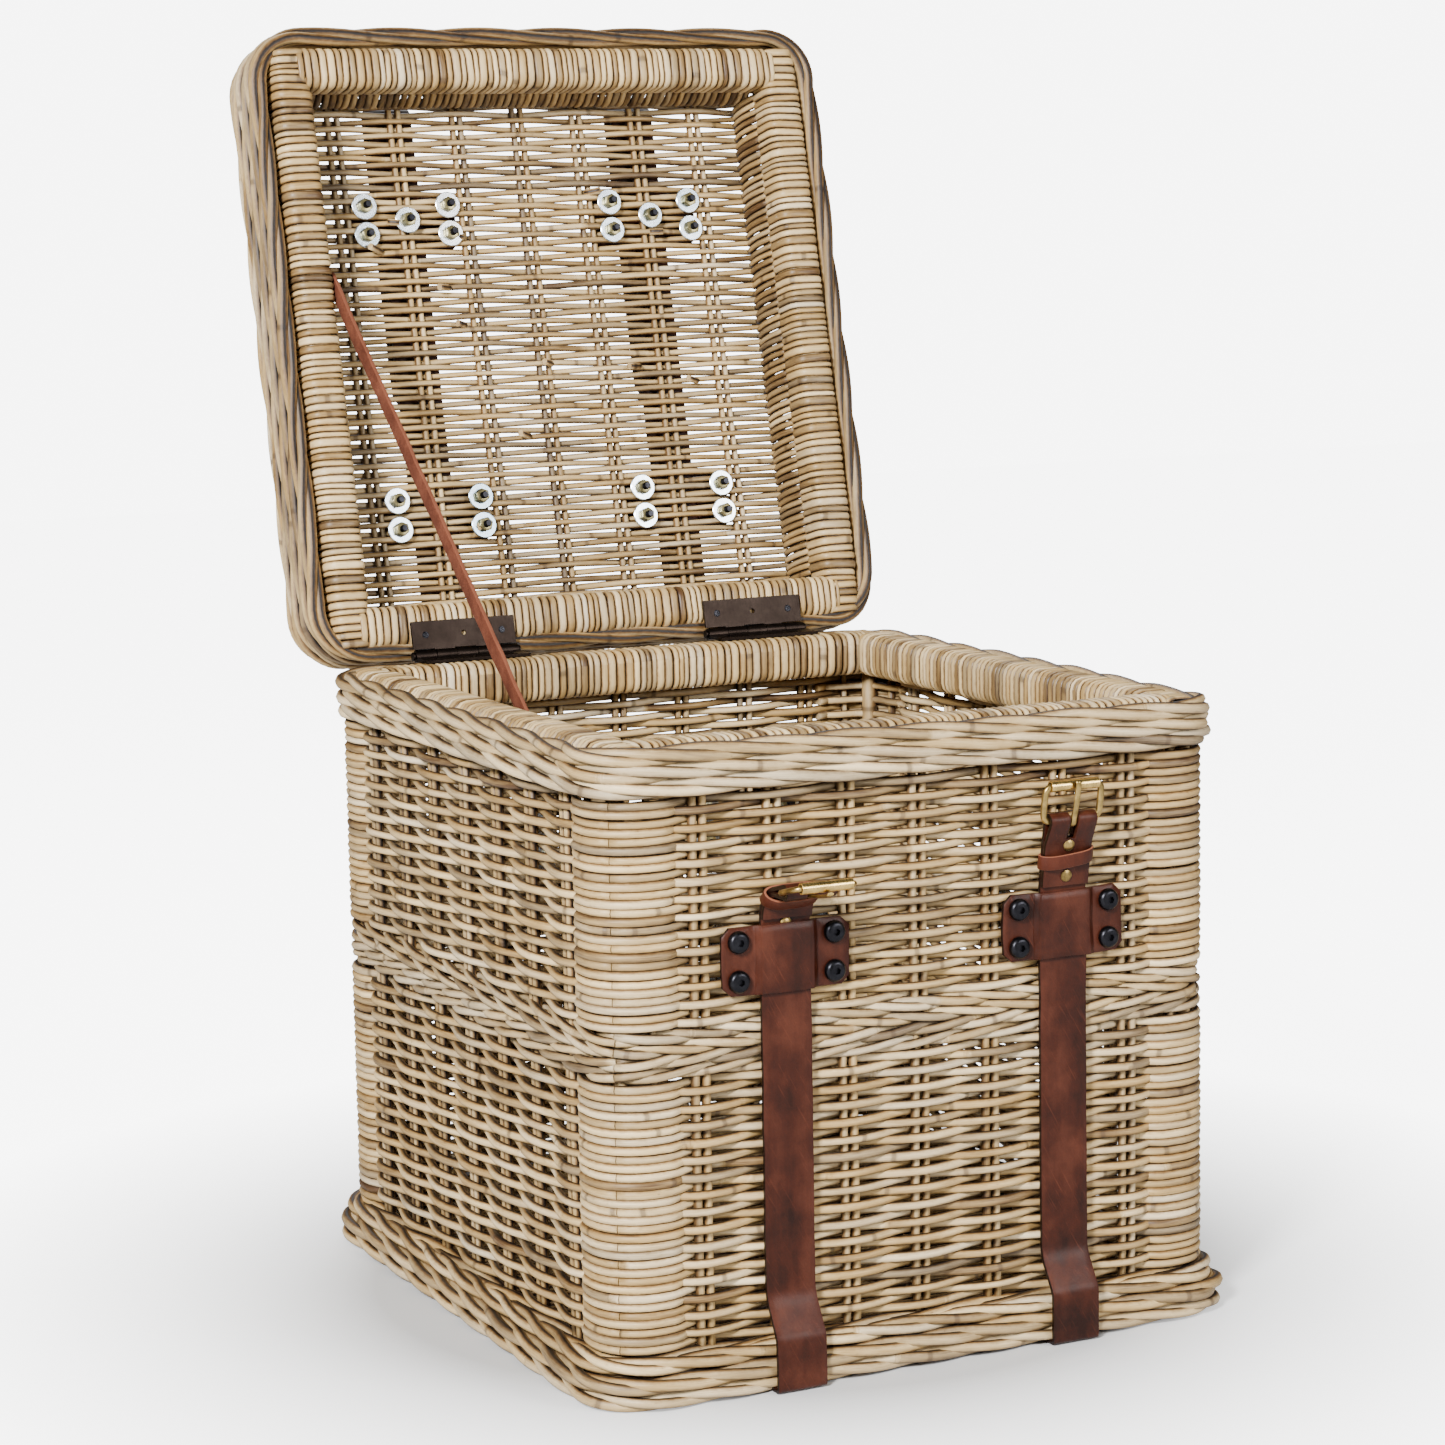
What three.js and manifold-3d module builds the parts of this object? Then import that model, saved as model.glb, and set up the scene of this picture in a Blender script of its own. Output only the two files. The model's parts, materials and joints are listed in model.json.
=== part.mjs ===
// A wicker storage trunk: woven walls between wrapped corner posts, a hinged woven lid that a
// suede strap holds open, and two leather belts with roller buckles.
// Millimetres, +Z up, the front faces -Y. The origin is the middle of the foot, on the floor.
import * as THREE from "three";
import { mergeVertices } from "three/addons/utils/BufferGeometryUtils.js";
import Module from "manifold-3d";

const wasm = await Module();
wasm.setup();

// ---------------------------------------------------------------- driving dimensions
const CLEARANCE = 0.3; // between pieces that touch

const RIM_WIDTH = 475; // the wrapped rim frame, left to right
const RIM_DEPTH = 498; // the wrapped rim frame, front to back
const TRUNK_HEIGHT = 460; // floor to the top of the rim frame
const RAIL_WIDTH = 34;
const RAIL_HEIGHT = 36;
const RAIL_CORNER = 8;
const INNER_CORNER = 2; // inside the rails

const WALL_THICKNESS = 18;
const WALL_PROUD = 10; // the weave stands this far outside the rim frame
const POST_REACH = 60; // a corner post runs this far along each face
const POST_RADIUS = 37;

const BORDER_PROUD = 18; // the rope twists round the top, outside the rim frame
const BORDER_DROP = 4; // and how far they stay under the rim's face
const BORDER_RADIUS = 45;
const BACK_RADIUS = 24;
const FOOT_PROUD = 26; // the rope twists round the foot
const FOOT_HEIGHT = 35;
const FOOT_RADIUS = 52;
const FLOOR_THICKNESS = 12;

const LID_HEIGHT = 80; // the lid frame's face to the lid's outer face
const LID_STEP = 8; // the lid's front stops this far behind the rim's front
const LID_PANEL_THICKNESS = 14;
const LID_PANEL_DROP = 0.5; // the panel lies this far under the lid's outer face
const LID_GAP = 6; // between the two wrapped frames when the lid is shut
const LID_OPEN = 103; // degrees

const HINGE_SET_BACK = 9.4; // the pin's axis, behind the rim frame
const HINGE_FROM_SIDE = 107.5; // the hinge's middle, in from the rim frame's side
const HINGE_LENGTH = 89;
const LEAF_DEPTH = 28;
const LEAF_THICKNESS = 2.4;
const KNUCKLE_RADIUS = 4.8;
const KNUCKLES = 5;
const KNUCKLE_GAP = 0.5;
const LEAF_RELIEF = 0.8; // a leaf's edge to the other leaf's knuckles
const PIN_RADIUS = 2.3;
const PIN_PLAY = 0.15;
const PIN_CAP_LENGTH = 1.6;
const PIN_CAP_PROUD = 1.2;
const HOLE_RADIUS = 2.2; // a leaf's screw holes
const HOLE_SPACING = 33;

const BELT_WIDTH = 38;
const BELT_THICKNESS = 3;
const BELT_FROM_SIDE = 126.5; // the belt's middle, in from the rim frame's side
const BELT_RECESS = 1; // the belt runs under the foot this far clear of the floor
const BELT_FLARE = 26; // the belt starts to lean outwards this far above the foot
const BELT_BACK_END = 10; // the belt's far end, past its back plate
const PLATE_HEIGHT = 48;
const PLATE_THICKNESS = 3;
const PLATE_CORNER = 6;
const PLATE_DROP = 154; // rim top to the middle of a keeper plate
const BOLT_FROM_BELT = 18; // a belt's edge to a plate's bolts
const BOLT_MARGIN = 12; // a plate's end to its bolts
const HUMP_PLAY = 0.6; // a plate's hump stands clear of its belt's edges
const HUMP_LEAN = 0.8; // and its inner sides lean by this
const HUMP_BRIM = 1.5;
const HUMP_FOOT = 5; // the hump's outer slope ends this far from the belt's edge
const BOLT_SPACING = 27.4; // a plate's bolts, across the belt's length
const BOLT_RADIUS = 3;
const HEAD_RADIUS = 8;
const HEAD_HEIGHT = 5;
const WASHER_RADIUS = 11;
const WASHER_THICKNESS = 1.6;
const NUT_RADIUS = 5.5;
const NUT_HEIGHT = 5;
const BOLT_END = 5; // the shank past its nut
const LID_FRONT_PLATE = 130; // in from the lid frame's front
const LID_REAR_PLATE = 114; // in from the lid frame's rear
const LID_BOLT_SPACING = 24;
const TAIL_FOLD = 91; // the lid belt's fold, in front of its front plate
const TAIL_STOP = 60; // the tail's tip, in front of the rear plate
const TAIL_LIFT = 1; // the folded tail lies this far over the plates' bolt heads
const TAIL_TIP_TO_HOLE = 30;
const TAIL_HOLES = 6;
const TAIL_HOLE_PITCH = 25;
const TAIL_HOLE_RADIUS = 2.6;
const TAIL_TIP_SHARE = 0.3; // of the tail's half width that its tip keeps

const STRAP_START = 2; // above a keeper plate, where the belt is free to turn
const STRAP_END = 52; // from there to the buckle's heel bar, along the belt
const FLAP_START = 2; // the turned-back end, from there
const FOLD_TAPER = 16; // the two layers part this far before the heel bar
const LOOP_PLACE = 23; // and to the leather loop
const LOOP_WIDTH = 10;
const LOOP_THICKNESS = 1.8;
const LOOP_PLAY = 0.5;
const LOOP_SIDE_PLAY = 1.2;
const BUCKLE_WIRE = 2.5; // radius
const BUCKLE_TALL = 26; // heel bar to roller
const ROLLER_RADIUS = 4;
const EYE_RADIUS = 5;
const EYE_WIDTH = 6;
const EYE_PLAY = 0.6;
const PRONG_SLOT = 14; // the slot in the fold runs this far each way from the heel bar
const ARM_PLAY = 1; // a buckle's arms to its belt's edges
const ROLLER_PLAY = 0.5; // a roller's ends past the belt's edges
const PRONG_LIFT = 0.3; // the prong lies this far off its bars
const PRONG_RADIUS = 1.8;
const PRONG_LENGTH = 31;

const STAY_WIDTH = 14;
const STAY_THICKNESS = 3;
const STAY_ON_LID = 312; // its lid end, from the hinge axis
const STAY_ON_RIM = 298; // its trunk end, in front of the hinge axis

// How each belt's buckle end stands off the front: the angle it turns outwards, and over what length.
const BELTS = [
  { side: "left", sign: -1, curl: 75, bend: 35 },
  { side: "right", sign: 1, curl: 10, bend: 8 },
];

// ---------------------------------------------------------------- sizes worked out from them
const rimX = RIM_WIDTH / 2;
const rimY = RIM_DEPTH / 2;
const wallX = rimX + WALL_PROUD;
const wallY = rimY + WALL_PROUD;
const wallBottom = FOOT_HEIGHT + CLEARANCE;
const wallTop = TRUNK_HEIGHT - RAIL_HEIGHT - CLEARANCE;
const beltX = rimX - BELT_FROM_SIDE;
const plateZ = TRUNK_HEIGHT - PLATE_DROP;
const boltX = BELT_WIDTH / 2 + BOLT_FROM_BELT;
const plateX = boltX + BOLT_MARGIN;
const heelOffset = BUCKLE_WIRE + CLEARANCE + BELT_THICKNESS / 2;
const lidDepth = RIM_DEPTH - LID_STEP;
const hingeY = rimY + HINGE_SET_BACK;
const hingeZ = TRUNK_HEIGHT + LID_GAP / 2;
const backProud = HINGE_SET_BACK - 0.4;
const lidFace = LID_GAP / 2; // in the lid's own frame, whose origin is on the hinge axis
const lidOuter = lidFace + LID_HEIGHT;

// ---------------------------------------------------------------- materials
function finish(color, roughness, metalness) {
  return () => new THREE.MeshStandardMaterial({ color, roughness, metalness });
}
const rattan = finish(0xb59a74, 0.62, 0);
const greyRattan = finish(0xa2917a, 0.66, 0);
const wrappedRattan = finish(0xc2aa80, 0.5, 0);
const leather = finish(0x6a3826, 0.5, 0);
const suede = finish(0x96584a, 0.85, 0);
const brass = finish(0xb29a5c, 0.35, 1);
const bronze = finish(0x4a3228, 0.4, 1);
const blackSteel = finish(0x24242a, 0.4, 0.9);

// ---------------------------------------------------------------- geometry helpers
function bare(geometry) {
  const copy = geometry.clone();
  copy.deleteAttribute("normal");
  copy.deleteAttribute("uv");
  return mergeVertices(copy, 1e-3);
}

function solid(geometry) {
  const merged = bare(geometry);
  const vertProperties = merged.attributes.position.array;
  const triVerts = new Uint32Array(merged.index.array);
  return new wasm.Manifold(new wasm.Mesh({ numProp: 3, vertProperties, triVerts }));
}

function geometryOf(manifold) {
  const mesh = manifold.getMesh();
  const geometry = new THREE.BufferGeometry();
  geometry.setAttribute("position", new THREE.BufferAttribute(mesh.vertProperties, 3));
  geometry.setIndex(new THREE.BufferAttribute(mesh.triVerts, 1));
  geometry.computeVertexNormals();
  return geometry;
}

function join(...geometries) {
  return geometryOf(geometries.map(solid).reduce((whole, next) => whole.add(next)));
}

function cut(geometry, ...tools) {
  return geometryOf(tools.map(solid).reduce((left, tool) => left.subtract(tool), solid(geometry)));
}

function common(a, b) {
  return geometryOf(solid(a).intersect(solid(b)));
}

function block(x0, x1, y0, y1, z0, z1) {
  const box = new THREE.BoxGeometry(x1 - x0, y1 - y0, z1 - z0);
  return box.translate((x0 + x1) / 2, (y0 + y1) / 2, (z0 + z1) / 2);
}

// A round bar between two points.
function bar(from, to, radius, sides = 12) {
  const run = new THREE.Vector3().subVectors(to, from);
  const cylinder = new THREE.CylinderGeometry(radius, radius, run.length(), sides);
  const up = new THREE.Vector3(0, 1, 0);
  const turn = new THREE.Quaternion().setFromUnitVectors(up, run.clone().normalize());
  cylinder.applyQuaternion(turn);
  const middle = new THREE.Vector3().addVectors(from, to).multiplyScalar(0.5);
  return cylinder.translate(middle.x, middle.y, middle.z);
}

function barX(x0, x1, y, z, radius, sides = 12) {
  return bar(new THREE.Vector3(x0, y, z), new THREE.Vector3(x1, y, z), radius, sides);
}

function barY(x, y0, y1, z, radius, sides = 10) {
  return bar(new THREE.Vector3(x, y0, z), new THREE.Vector3(x, y1, z), radius, sides);
}

// A rectangle from (x0, y0) to (x1, y1) with one radius at the front (low y) and one at the back.
function roundedOutline(x0, x1, y0, y1, frontRadius, backRadius, Kind = THREE.Shape) {
  const outline = new Kind();
  const quarter = Math.PI / 2;
  outline.absarc(x1 - frontRadius, y0 + frontRadius, frontRadius, -quarter, 0, false);
  outline.absarc(x1 - backRadius, y1 - backRadius, backRadius, 0, quarter, false);
  outline.absarc(x0 + backRadius, y1 - backRadius, backRadius, quarter, 2 * quarter, false);
  outline.absarc(x0 + frontRadius, y0 + frontRadius, frontRadius, 2 * quarter, 3 * quarter, false);
  outline.closePath();
  return outline;
}

function raise(shape, z0, z1, curveSegments = 5) {
  const options = { depth: z1 - z0, bevelEnabled: false, curveSegments };
  return new THREE.ExtrudeGeometry(shape, options).translate(0, 0, z0);
}

// A ring between two rounded outlines.
function frameRing(outer, hole, z0, z1) {
  outer.holes.push(hole);
  return raise(outer, z0, z1);
}

// A flat strip of leather whose edge view follows points (outwards, up) and whose width lies along X.
function ribbon(points, thickness, width) {
  const half = thickness / 2;
  const left = [];
  const right = [];
  points.forEach((point, i) => {
    const before = points[Math.max(i - 1, 0)];
    const after = points[Math.min(i + 1, points.length - 1)];
    const into = i > 0 ? point.clone().sub(before).normalize() : after.clone().sub(point).normalize();
    const out = i < points.length - 1 ? after.clone().sub(point).normalize() : into.clone();
    const mid = into.clone().add(out).normalize();
    const side = new THREE.Vector2(-mid.y, mid.x).multiplyScalar(half / mid.dot(into));
    left.push(point.clone().add(side));
    right.push(point.clone().sub(side));
  });
  const strip = raise(new THREE.Shape([...left, ...right.reverse()]), -width / 2, width / 2);
  return strip.applyMatrix4(sideways());
}

// Takes (outwards, up, along) to the frame whose outwards is -Y.
function sideways() {
  const outwards = new THREE.Vector3(0, -1, 0);
  const up = new THREE.Vector3(0, 0, 1);
  return new THREE.Matrix4().makeBasis(outwards, up, new THREE.Vector3(-1, 0, 0));
}

// The points of a bend that rounds the corner between three points.
function rounded(before, corner, after, reach, steps = 4) {
  const start = corner.clone().add(before.clone().sub(corner).setLength(reach));
  const end = corner.clone().add(after.clone().sub(corner).setLength(reach));
  return new THREE.QuadraticBezierCurve(start, corner, end).getPoints(steps);
}

// A route with each inner corner rounded by its own reach.
function route(corners, reaches) {
  const points = [corners[0]];
  for (let i = 1; i < corners.length - 1; i++) {
    points.push(...rounded(corners[i - 1], corners[i], corners[i + 1], reaches[i - 1]));
  }
  points.push(corners.at(-1));
  return points;
}

function add(parent, name, geometry, material, position = [0, 0, 0]) {
  const mesh = new THREE.Mesh(geometry, material());
  mesh.name = name;
  mesh.position.set(...position);
  parent.add(mesh);
  return mesh;
}

// ---------------------------------------------------------------- the trunk's woven body
function makeWalls(trunk) {
  const acrossX = wallX - POST_REACH - CLEARANCE;
  const acrossY = wallY - POST_REACH - CLEARANCE;
  const thick = WALL_THICKNESS;
  const front = block(-acrossX, acrossX, -wallY, -wallY + thick, wallBottom, wallTop);
  const shanks = BELTS.flatMap((belt) =>
    plateBolts(BOLT_SPACING).map(([x, z]) =>
      barY(belt.sign * beltX + x, -wallY - 1, -wallY + thick + 1, plateZ + z, BOLT_RADIUS + CLEARANCE),
    ),
  );
  add(trunk, "front_wall", cut(front, ...shanks), rattan);
  add(trunk, "back_wall", block(-acrossX, acrossX, wallY - thick, wallY, wallBottom, wallTop), rattan);
  add(trunk, "left_wall", block(-wallX, -wallX + thick, -acrossY, acrossY, wallBottom, wallTop), rattan);
  add(trunk, "right_wall", block(wallX - thick, wallX, -acrossY, acrossY, wallBottom, wallTop), rattan);
}

function makePosts(trunk) {
  const inner = POST_RADIUS - WALL_THICKNESS;
  for (const [end, signY] of [["front", -1], ["back", 1]]) {
    for (const [side, signX] of [["left", -1], ["right", 1]]) {
      const outline = new THREE.Shape();
      outline.moveTo(wallX - POST_REACH, wallY);
      outline.lineTo(wallX - POST_RADIUS, wallY);
      outline.absarc(wallX - POST_RADIUS, wallY - POST_RADIUS, POST_RADIUS, Math.PI / 2, 0, true);
      outline.lineTo(wallX, wallY - POST_REACH);
      outline.lineTo(wallX - WALL_THICKNESS, wallY - POST_REACH);
      outline.absarc(wallX - POST_RADIUS, wallY - POST_RADIUS, inner, 0, Math.PI / 2, false);
      outline.lineTo(wallX - POST_REACH, wallY - WALL_THICKNESS);
      outline.closePath();
      const points = outline.getPoints(6).map((p) => new THREE.Vector2(p.x * signX, p.y * signY));
      add(trunk, `${end}_${side}_corner_post`, raise(new THREE.Shape(points), wallBottom, wallTop), rattan);
    }
  }
}

// The belts pass under the foot and the floor in shallow channels.
function beltChannels() {
  const half = BELT_WIDTH / 2 + 1;
  const top = BELT_RECESS + BELT_THICKNESS + CLEARANCE;
  const end = rimY + FOOT_PROUD + 1;
  return BELTS.map((belt) => {
    const x = belt.sign * beltX;
    return block(x - half, x + half, -end, end, -1, top);
  });
}

function makeRings(trunk) {
  const footX = rimX + FOOT_PROUD;
  const footY = rimY + FOOT_PROUD;
  const insideX = wallX - WALL_THICKNESS;
  const insideY = wallY - WALL_THICKNESS;
  const inside = POST_RADIUS - WALL_THICKNESS;
  const foot = frameRing(
    roundedOutline(-footX, footX, -footY, footY, FOOT_RADIUS, FOOT_RADIUS),
    roundedOutline(-insideX, insideX, -insideY, insideY, inside, inside, THREE.Path),
    0,
    FOOT_HEIGHT,
  );
  add(trunk, "bottom_border", cut(foot, ...beltChannels()), greyRattan);

  const floorX = insideX - CLEARANCE;
  const floorY = insideY - CLEARANCE;
  const floor = raise(roundedOutline(-floorX, floorX, -floorY, floorY, inside, inside), 0, FLOOR_THICKNESS);
  add(trunk, "floor_panel", cut(floor, ...beltChannels()), rattan);

  const ropeX = rimX + BORDER_PROUD;
  const gapX = rimX + CLEARANCE;
  const gapY = rimY + CLEARANCE;
  const rope = frameRing(
    roundedOutline(-ropeX, ropeX, -rimY - BORDER_PROUD, rimY + backProud, BORDER_RADIUS, BACK_RADIUS),
    roundedOutline(-gapX, gapX, -gapY, gapY, RAIL_CORNER, RAIL_CORNER, THREE.Path),
    TRUNK_HEIGHT - RAIL_HEIGHT,
    TRUNK_HEIGHT - BORDER_DROP,
  );
  add(trunk, "top_border", rope, greyRattan);

  const rim = railRing(-rimY, rimY, TRUNK_HEIGHT - RAIL_HEIGHT, TRUNK_HEIGHT);
  add(trunk, "rim_frame", rim, wrappedRattan);
}

// The wrapped frame of the trunk's rim or of the lid.
function railRing(y0, y1, z0, z1) {
  return frameRing(roundedOutline(-rimX, rimX, y0, y1, RAIL_CORNER, RAIL_CORNER), insideRails(y0, y1), z0, z1);
}

// The hole inside a wrapped frame that runs from y0 to y1.
function insideRails(y0, y1) {
  const x = rimX - RAIL_WIDTH;
  const corner = INNER_CORNER;
  return roundedOutline(-x, x, y0 + RAIL_WIDTH, y1 - RAIL_WIDTH, corner, corner, THREE.Path);
}

// ---------------------------------------------------------------- the lid, shut, in its hinge's frame
function makeLid(lid) {
  const rear = -HINGE_SET_BACK;
  const front = rear - lidDepth;
  const railTop = lidFace + RAIL_HEIGHT;
  add(lid, "lid_rim_frame", railRing(front, rear, lidFace, railTop), wrappedRattan);

  const outside = () =>
    roundedOutline(
      -rimX - BORDER_PROUD,
      rimX + BORDER_PROUD,
      front - BORDER_PROUD,
      rear + backProud,
      BORDER_RADIUS,
      BACK_RADIUS,
    );
  const gapX = rimX + CLEARANCE;
  const aroundFrame = frameRing(
    outside(),
    roundedOutline(-gapX, gapX, front - CLEARANCE, rear + CLEARANCE, RAIL_CORNER, RAIL_CORNER, THREE.Path),
    lidFace + BORDER_DROP,
    lidOuter,
  );
  const overFrame = frameRing(outside(), insideRails(front, rear), railTop + CLEARANCE, lidOuter);
  add(lid, "lid_skirt", join(aroundFrame, overFrame), greyRattan);

  const panelX = rimX - RAIL_WIDTH - CLEARANCE;
  const panelTop = lidOuter - LID_PANEL_DROP;
  const y0 = front + RAIL_WIDTH + CLEARANCE;
  const y1 = rear - RAIL_WIDTH - CLEARANCE;
  const outline = roundedOutline(-panelX, panelX, y0, y1, INNER_CORNER, INNER_CORNER);
  const panel = raise(outline, panelTop - LID_PANEL_THICKNESS, panelTop);
  const radius = BOLT_RADIUS + CLEARANCE;
  const shanks = BELTS.flatMap((belt) =>
    lidBolts().map(([x, y]) => {
      const from = new THREE.Vector3(belt.sign * beltX + x, y + frontPlateY(), panelTop + 1);
      const to = from.clone().setZ(panelTop - LID_PANEL_THICKNESS - 1);
      return bar(from, to, radius, 10);
    }),
  );
  add(lid, "lid_panel", cut(panel, ...shanks), rattan);
}

function frontPlateY() {
  return -HINGE_SET_BACK - lidDepth + LID_FRONT_PLATE;
}

function rearPlateY() {
  return -HINGE_SET_BACK - LID_REAR_PLATE;
}

// ---------------------------------------------------------------- hinges
// One leaf on the +Z side of the axis, reaching to -Y, with every second knuckle from the first given.
function leaf(firstKnuckle) {
  const pitch = HINGE_LENGTH / KNUCKLES;
  const half = HINGE_LENGTH / 2;
  const top = LID_GAP / 2 - CLEARANCE;
  const bottom = top - LEAF_THICKNESS;
  const edge = -KNUCKLE_RADIUS - LEAF_RELIEF;
  const parts = [block(-half, half, -LEAF_DEPTH, edge, bottom, top)];
  for (let i = firstKnuckle; i < KNUCKLES; i += 2) {
    const x0 = -half + i * pitch + KNUCKLE_GAP / 2;
    const x1 = -half + (i + 1) * pitch - KNUCKLE_GAP / 2;
    parts.push(block(x0, x1, edge - 1, -KNUCKLE_RADIUS / 2, bottom, top));
    parts.push(barX(x0, x1, 0, 0, KNUCKLE_RADIUS, 16));
  }
  const holes = [-1, 0, 1].map((step) => {
    const middle = (edge - LEAF_DEPTH) / 2;
    const from = new THREE.Vector3(step * HOLE_SPACING, middle, bottom - 1);
    return bar(from, from.clone().setZ(top + 1), HOLE_RADIUS, 10);
  });
  const bore = barX(-half - 1, half + 1, 0, 0, PIN_RADIUS + PIN_PLAY, 16);
  return cut(join(...parts), bore, ...holes);
}

function makeHinges(trunk, lid) {
  for (const [side, sign] of [["left", -1], ["right", 1]]) {
    const x = sign * (rimX - HINGE_FROM_SIDE);
    add(lid, `${side}_hinge_lid_leaf`, leaf(1), bronze, [x, 0, 0]);
    const lower = leaf(0).applyMatrix4(new THREE.Matrix4().makeRotationY(Math.PI));
    add(trunk, `${side}_hinge_trunk_leaf`, lower, bronze, [x, hingeY, hingeZ]);
    const half = HINGE_LENGTH / 2;
    const cap = half + CLEARANCE;
    const shaft = barX(-half - 2 * CLEARANCE, half + 2 * CLEARANCE, 0, 0, PIN_RADIUS, 16);
    const caps = [-1, 1].map((end) =>
      barX(end * cap, end * (cap + PIN_CAP_LENGTH), 0, 0, PIN_RADIUS + PIN_CAP_PROUD, 16),
    );
    add(trunk, `${side}_hinge_pin`, join(shaft, ...caps), bronze, [x, hingeY, hingeZ]);
  }
}

// ---------------------------------------------------------------- plates and bolts
// A leather keeper plate in front view, humped over its belt; its back lies on y = 0.
function plate(bolts) {
  const halfBelt = BELT_WIDTH / 2;
  const rise = BELT_THICKNESS + CLEARANCE;
  const t = PLATE_THICKNESS;
  const inner = halfBelt + HUMP_PLAY;
  const half = [
    [inner, rise],
    [inner + HUMP_LEAN, 0],
    [plateX, 0],
    [plateX, t],
    [halfBelt + HUMP_FOOT, t],
    [halfBelt + HUMP_BRIM, rise + t],
  ];
  const hump = [...half, ...half.map(([x, out]) => [-x, out]).reverse()];
  const section = new THREE.Shape(hump.map(([x, out]) => new THREE.Vector2(x, -out)));
  const high = PLATE_HEIGHT / 2;
  const humped = raise(section, -high, high);
  const clip = PLATE_CORNER;
  const outline = new THREE.Shape([
    new THREE.Vector2(plateX - clip, -high),
    new THREE.Vector2(plateX, -high + clip),
    new THREE.Vector2(plateX, high - clip),
    new THREE.Vector2(plateX - clip, high),
    new THREE.Vector2(-plateX + clip, high),
    new THREE.Vector2(-plateX, high - clip),
    new THREE.Vector2(-plateX, -high + clip),
    new THREE.Vector2(-plateX + clip, -high),
  ]);
  const clipped = raise(outline, -1, 2 * rise + t).rotateX(Math.PI / 2);
  const holes = bolts.map(([x, z]) => barY(x, -rise - t - 1, 1, z, BOLT_RADIUS + CLEARANCE));
  return cut(common(humped, clipped), ...holes);
}

function plateBolts(spacing) {
  return [-1, 1].flatMap((x) => [-1, 1].map((z) => [x * boltX, (z * spacing) / 2]));
}

// The front lid plate's four bolts, and a fifth that fixes the belt.
function lidBolts() {
  return [...plateBolts(LID_BOLT_SPACING), [0, 0]];
}

// A button-head bolt along +Y from its head's seat at y = 0, with its washer and nut past the grip.
function bolt(grip) {
  const washer = grip + CLEARANCE;
  const nut = washer + WASHER_THICKNESS;
  const end = nut + NUT_HEIGHT;
  const profile = [
    [0, -HEAD_HEIGHT],
    [HEAD_RADIUS * 0.55, -HEAD_HEIGHT],
    [HEAD_RADIUS * 0.88, -HEAD_HEIGHT * 0.6],
    [HEAD_RADIUS, -HEAD_HEIGHT * 0.15],
    [HEAD_RADIUS, 0],
    [BOLT_RADIUS, 0],
    [BOLT_RADIUS, washer],
    [WASHER_RADIUS, washer],
    [WASHER_RADIUS, nut],
    [NUT_RADIUS, nut],
    [NUT_RADIUS, end],
    [BOLT_RADIUS, end],
    [BOLT_RADIUS, end + BOLT_END],
    [0, end + BOLT_END],
  ];
  return new THREE.LatheGeometry(
    profile.map(([r, along]) => new THREE.Vector2(r, along)),
    10,
  );
}

function makeFrontPlates(trunk) {
  const flange = PLATE_THICKNESS + 2 * CLEARANCE;
  for (const belt of BELTS) {
    const x = belt.sign * beltX;
    const bolts = plateBolts(BOLT_SPACING);
    add(trunk, `${belt.side}_front_plate`, plate(bolts), leather, [x, -wallY - CLEARANCE, plateZ]);
    bolts.forEach(([dx, dz], i) => {
      const seat = [x + dx, -wallY - flange, plateZ + dz];
      add(trunk, `${belt.side}_front_bolt_${i + 1}`, bolt(flange + WALL_THICKNESS), blackSteel, seat);
    });
    const back = plate(bolts).rotateZ(Math.PI);
    add(trunk, `${belt.side}_back_plate`, back, leather, [x, wallY + CLEARANCE, plateZ]);
  }
}

function makeLidPlates(lid) {
  const onLid = -Math.PI / 2; // turns a front view to lie on the lid's outer face
  const seat = lidOuter + CLEARANCE;
  const flange = PLATE_THICKNESS + CLEARANCE;
  const raised = BELT_THICKNESS + CLEARANCE;
  for (const belt of BELTS) {
    const x = belt.sign * beltX;
    const front = plate(lidBolts()).rotateX(onLid);
    add(lid, `${belt.side}_lid_front_plate`, front, leather, [x, frontPlateY(), seat]);
    const rear = plate(plateBolts(LID_BOLT_SPACING)).rotateX(onLid);
    add(lid, `${belt.side}_lid_rear_plate`, rear, leather, [x, rearPlateY(), seat]);
    lidBolts().forEach(([dx, dy], i) => {
      const lift = dx === 0 ? raised : 0;
      const grip = flange + lift + CLEARANCE + LID_PANEL_DROP + LID_PANEL_THICKNESS;
      const place = [x + dx, frontPlateY() + dy, seat + flange + lift];
      add(lid, `${belt.side}_lid_bolt_${i + 1}`, bolt(grip).rotateX(onLid), blackSteel, place);
    });
  }
}

// ---------------------------------------------------------------- belts
// A place on a belt's buckle end: s along it from its keeper plate, n out from its middle layer.
// It comes back as (outwards, up) from the front wall's face and the plate's top.
function onStrap(belt, s, n) {
  const curl = THREE.MathUtils.degToRad(belt.curl);
  const turned = curl * THREE.MathUtils.clamp(s / belt.bend, 0, 1);
  const radius = belt.bend / curl;
  const along = Math.max(s - belt.bend, 0);
  const out = radius * (1 - Math.cos(turned)) + along * Math.sin(turned);
  const up = Math.min(s, 0) + radius * Math.sin(turned) + along * Math.cos(turned);
  const middle = CLEARANCE + BELT_THICKNESS / 2;
  return {
    turned,
    point: new THREE.Vector2(middle + out + n * Math.cos(turned), up - n * Math.sin(turned)),
  };
}

function strapOrigin() {
  return new THREE.Vector2(wallY, plateZ + PLATE_HEIGHT / 2 + STRAP_START);
}

function onFront(belt, s, n) {
  return onStrap(belt, s, n).point.add(strapOrigin());
}

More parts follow.
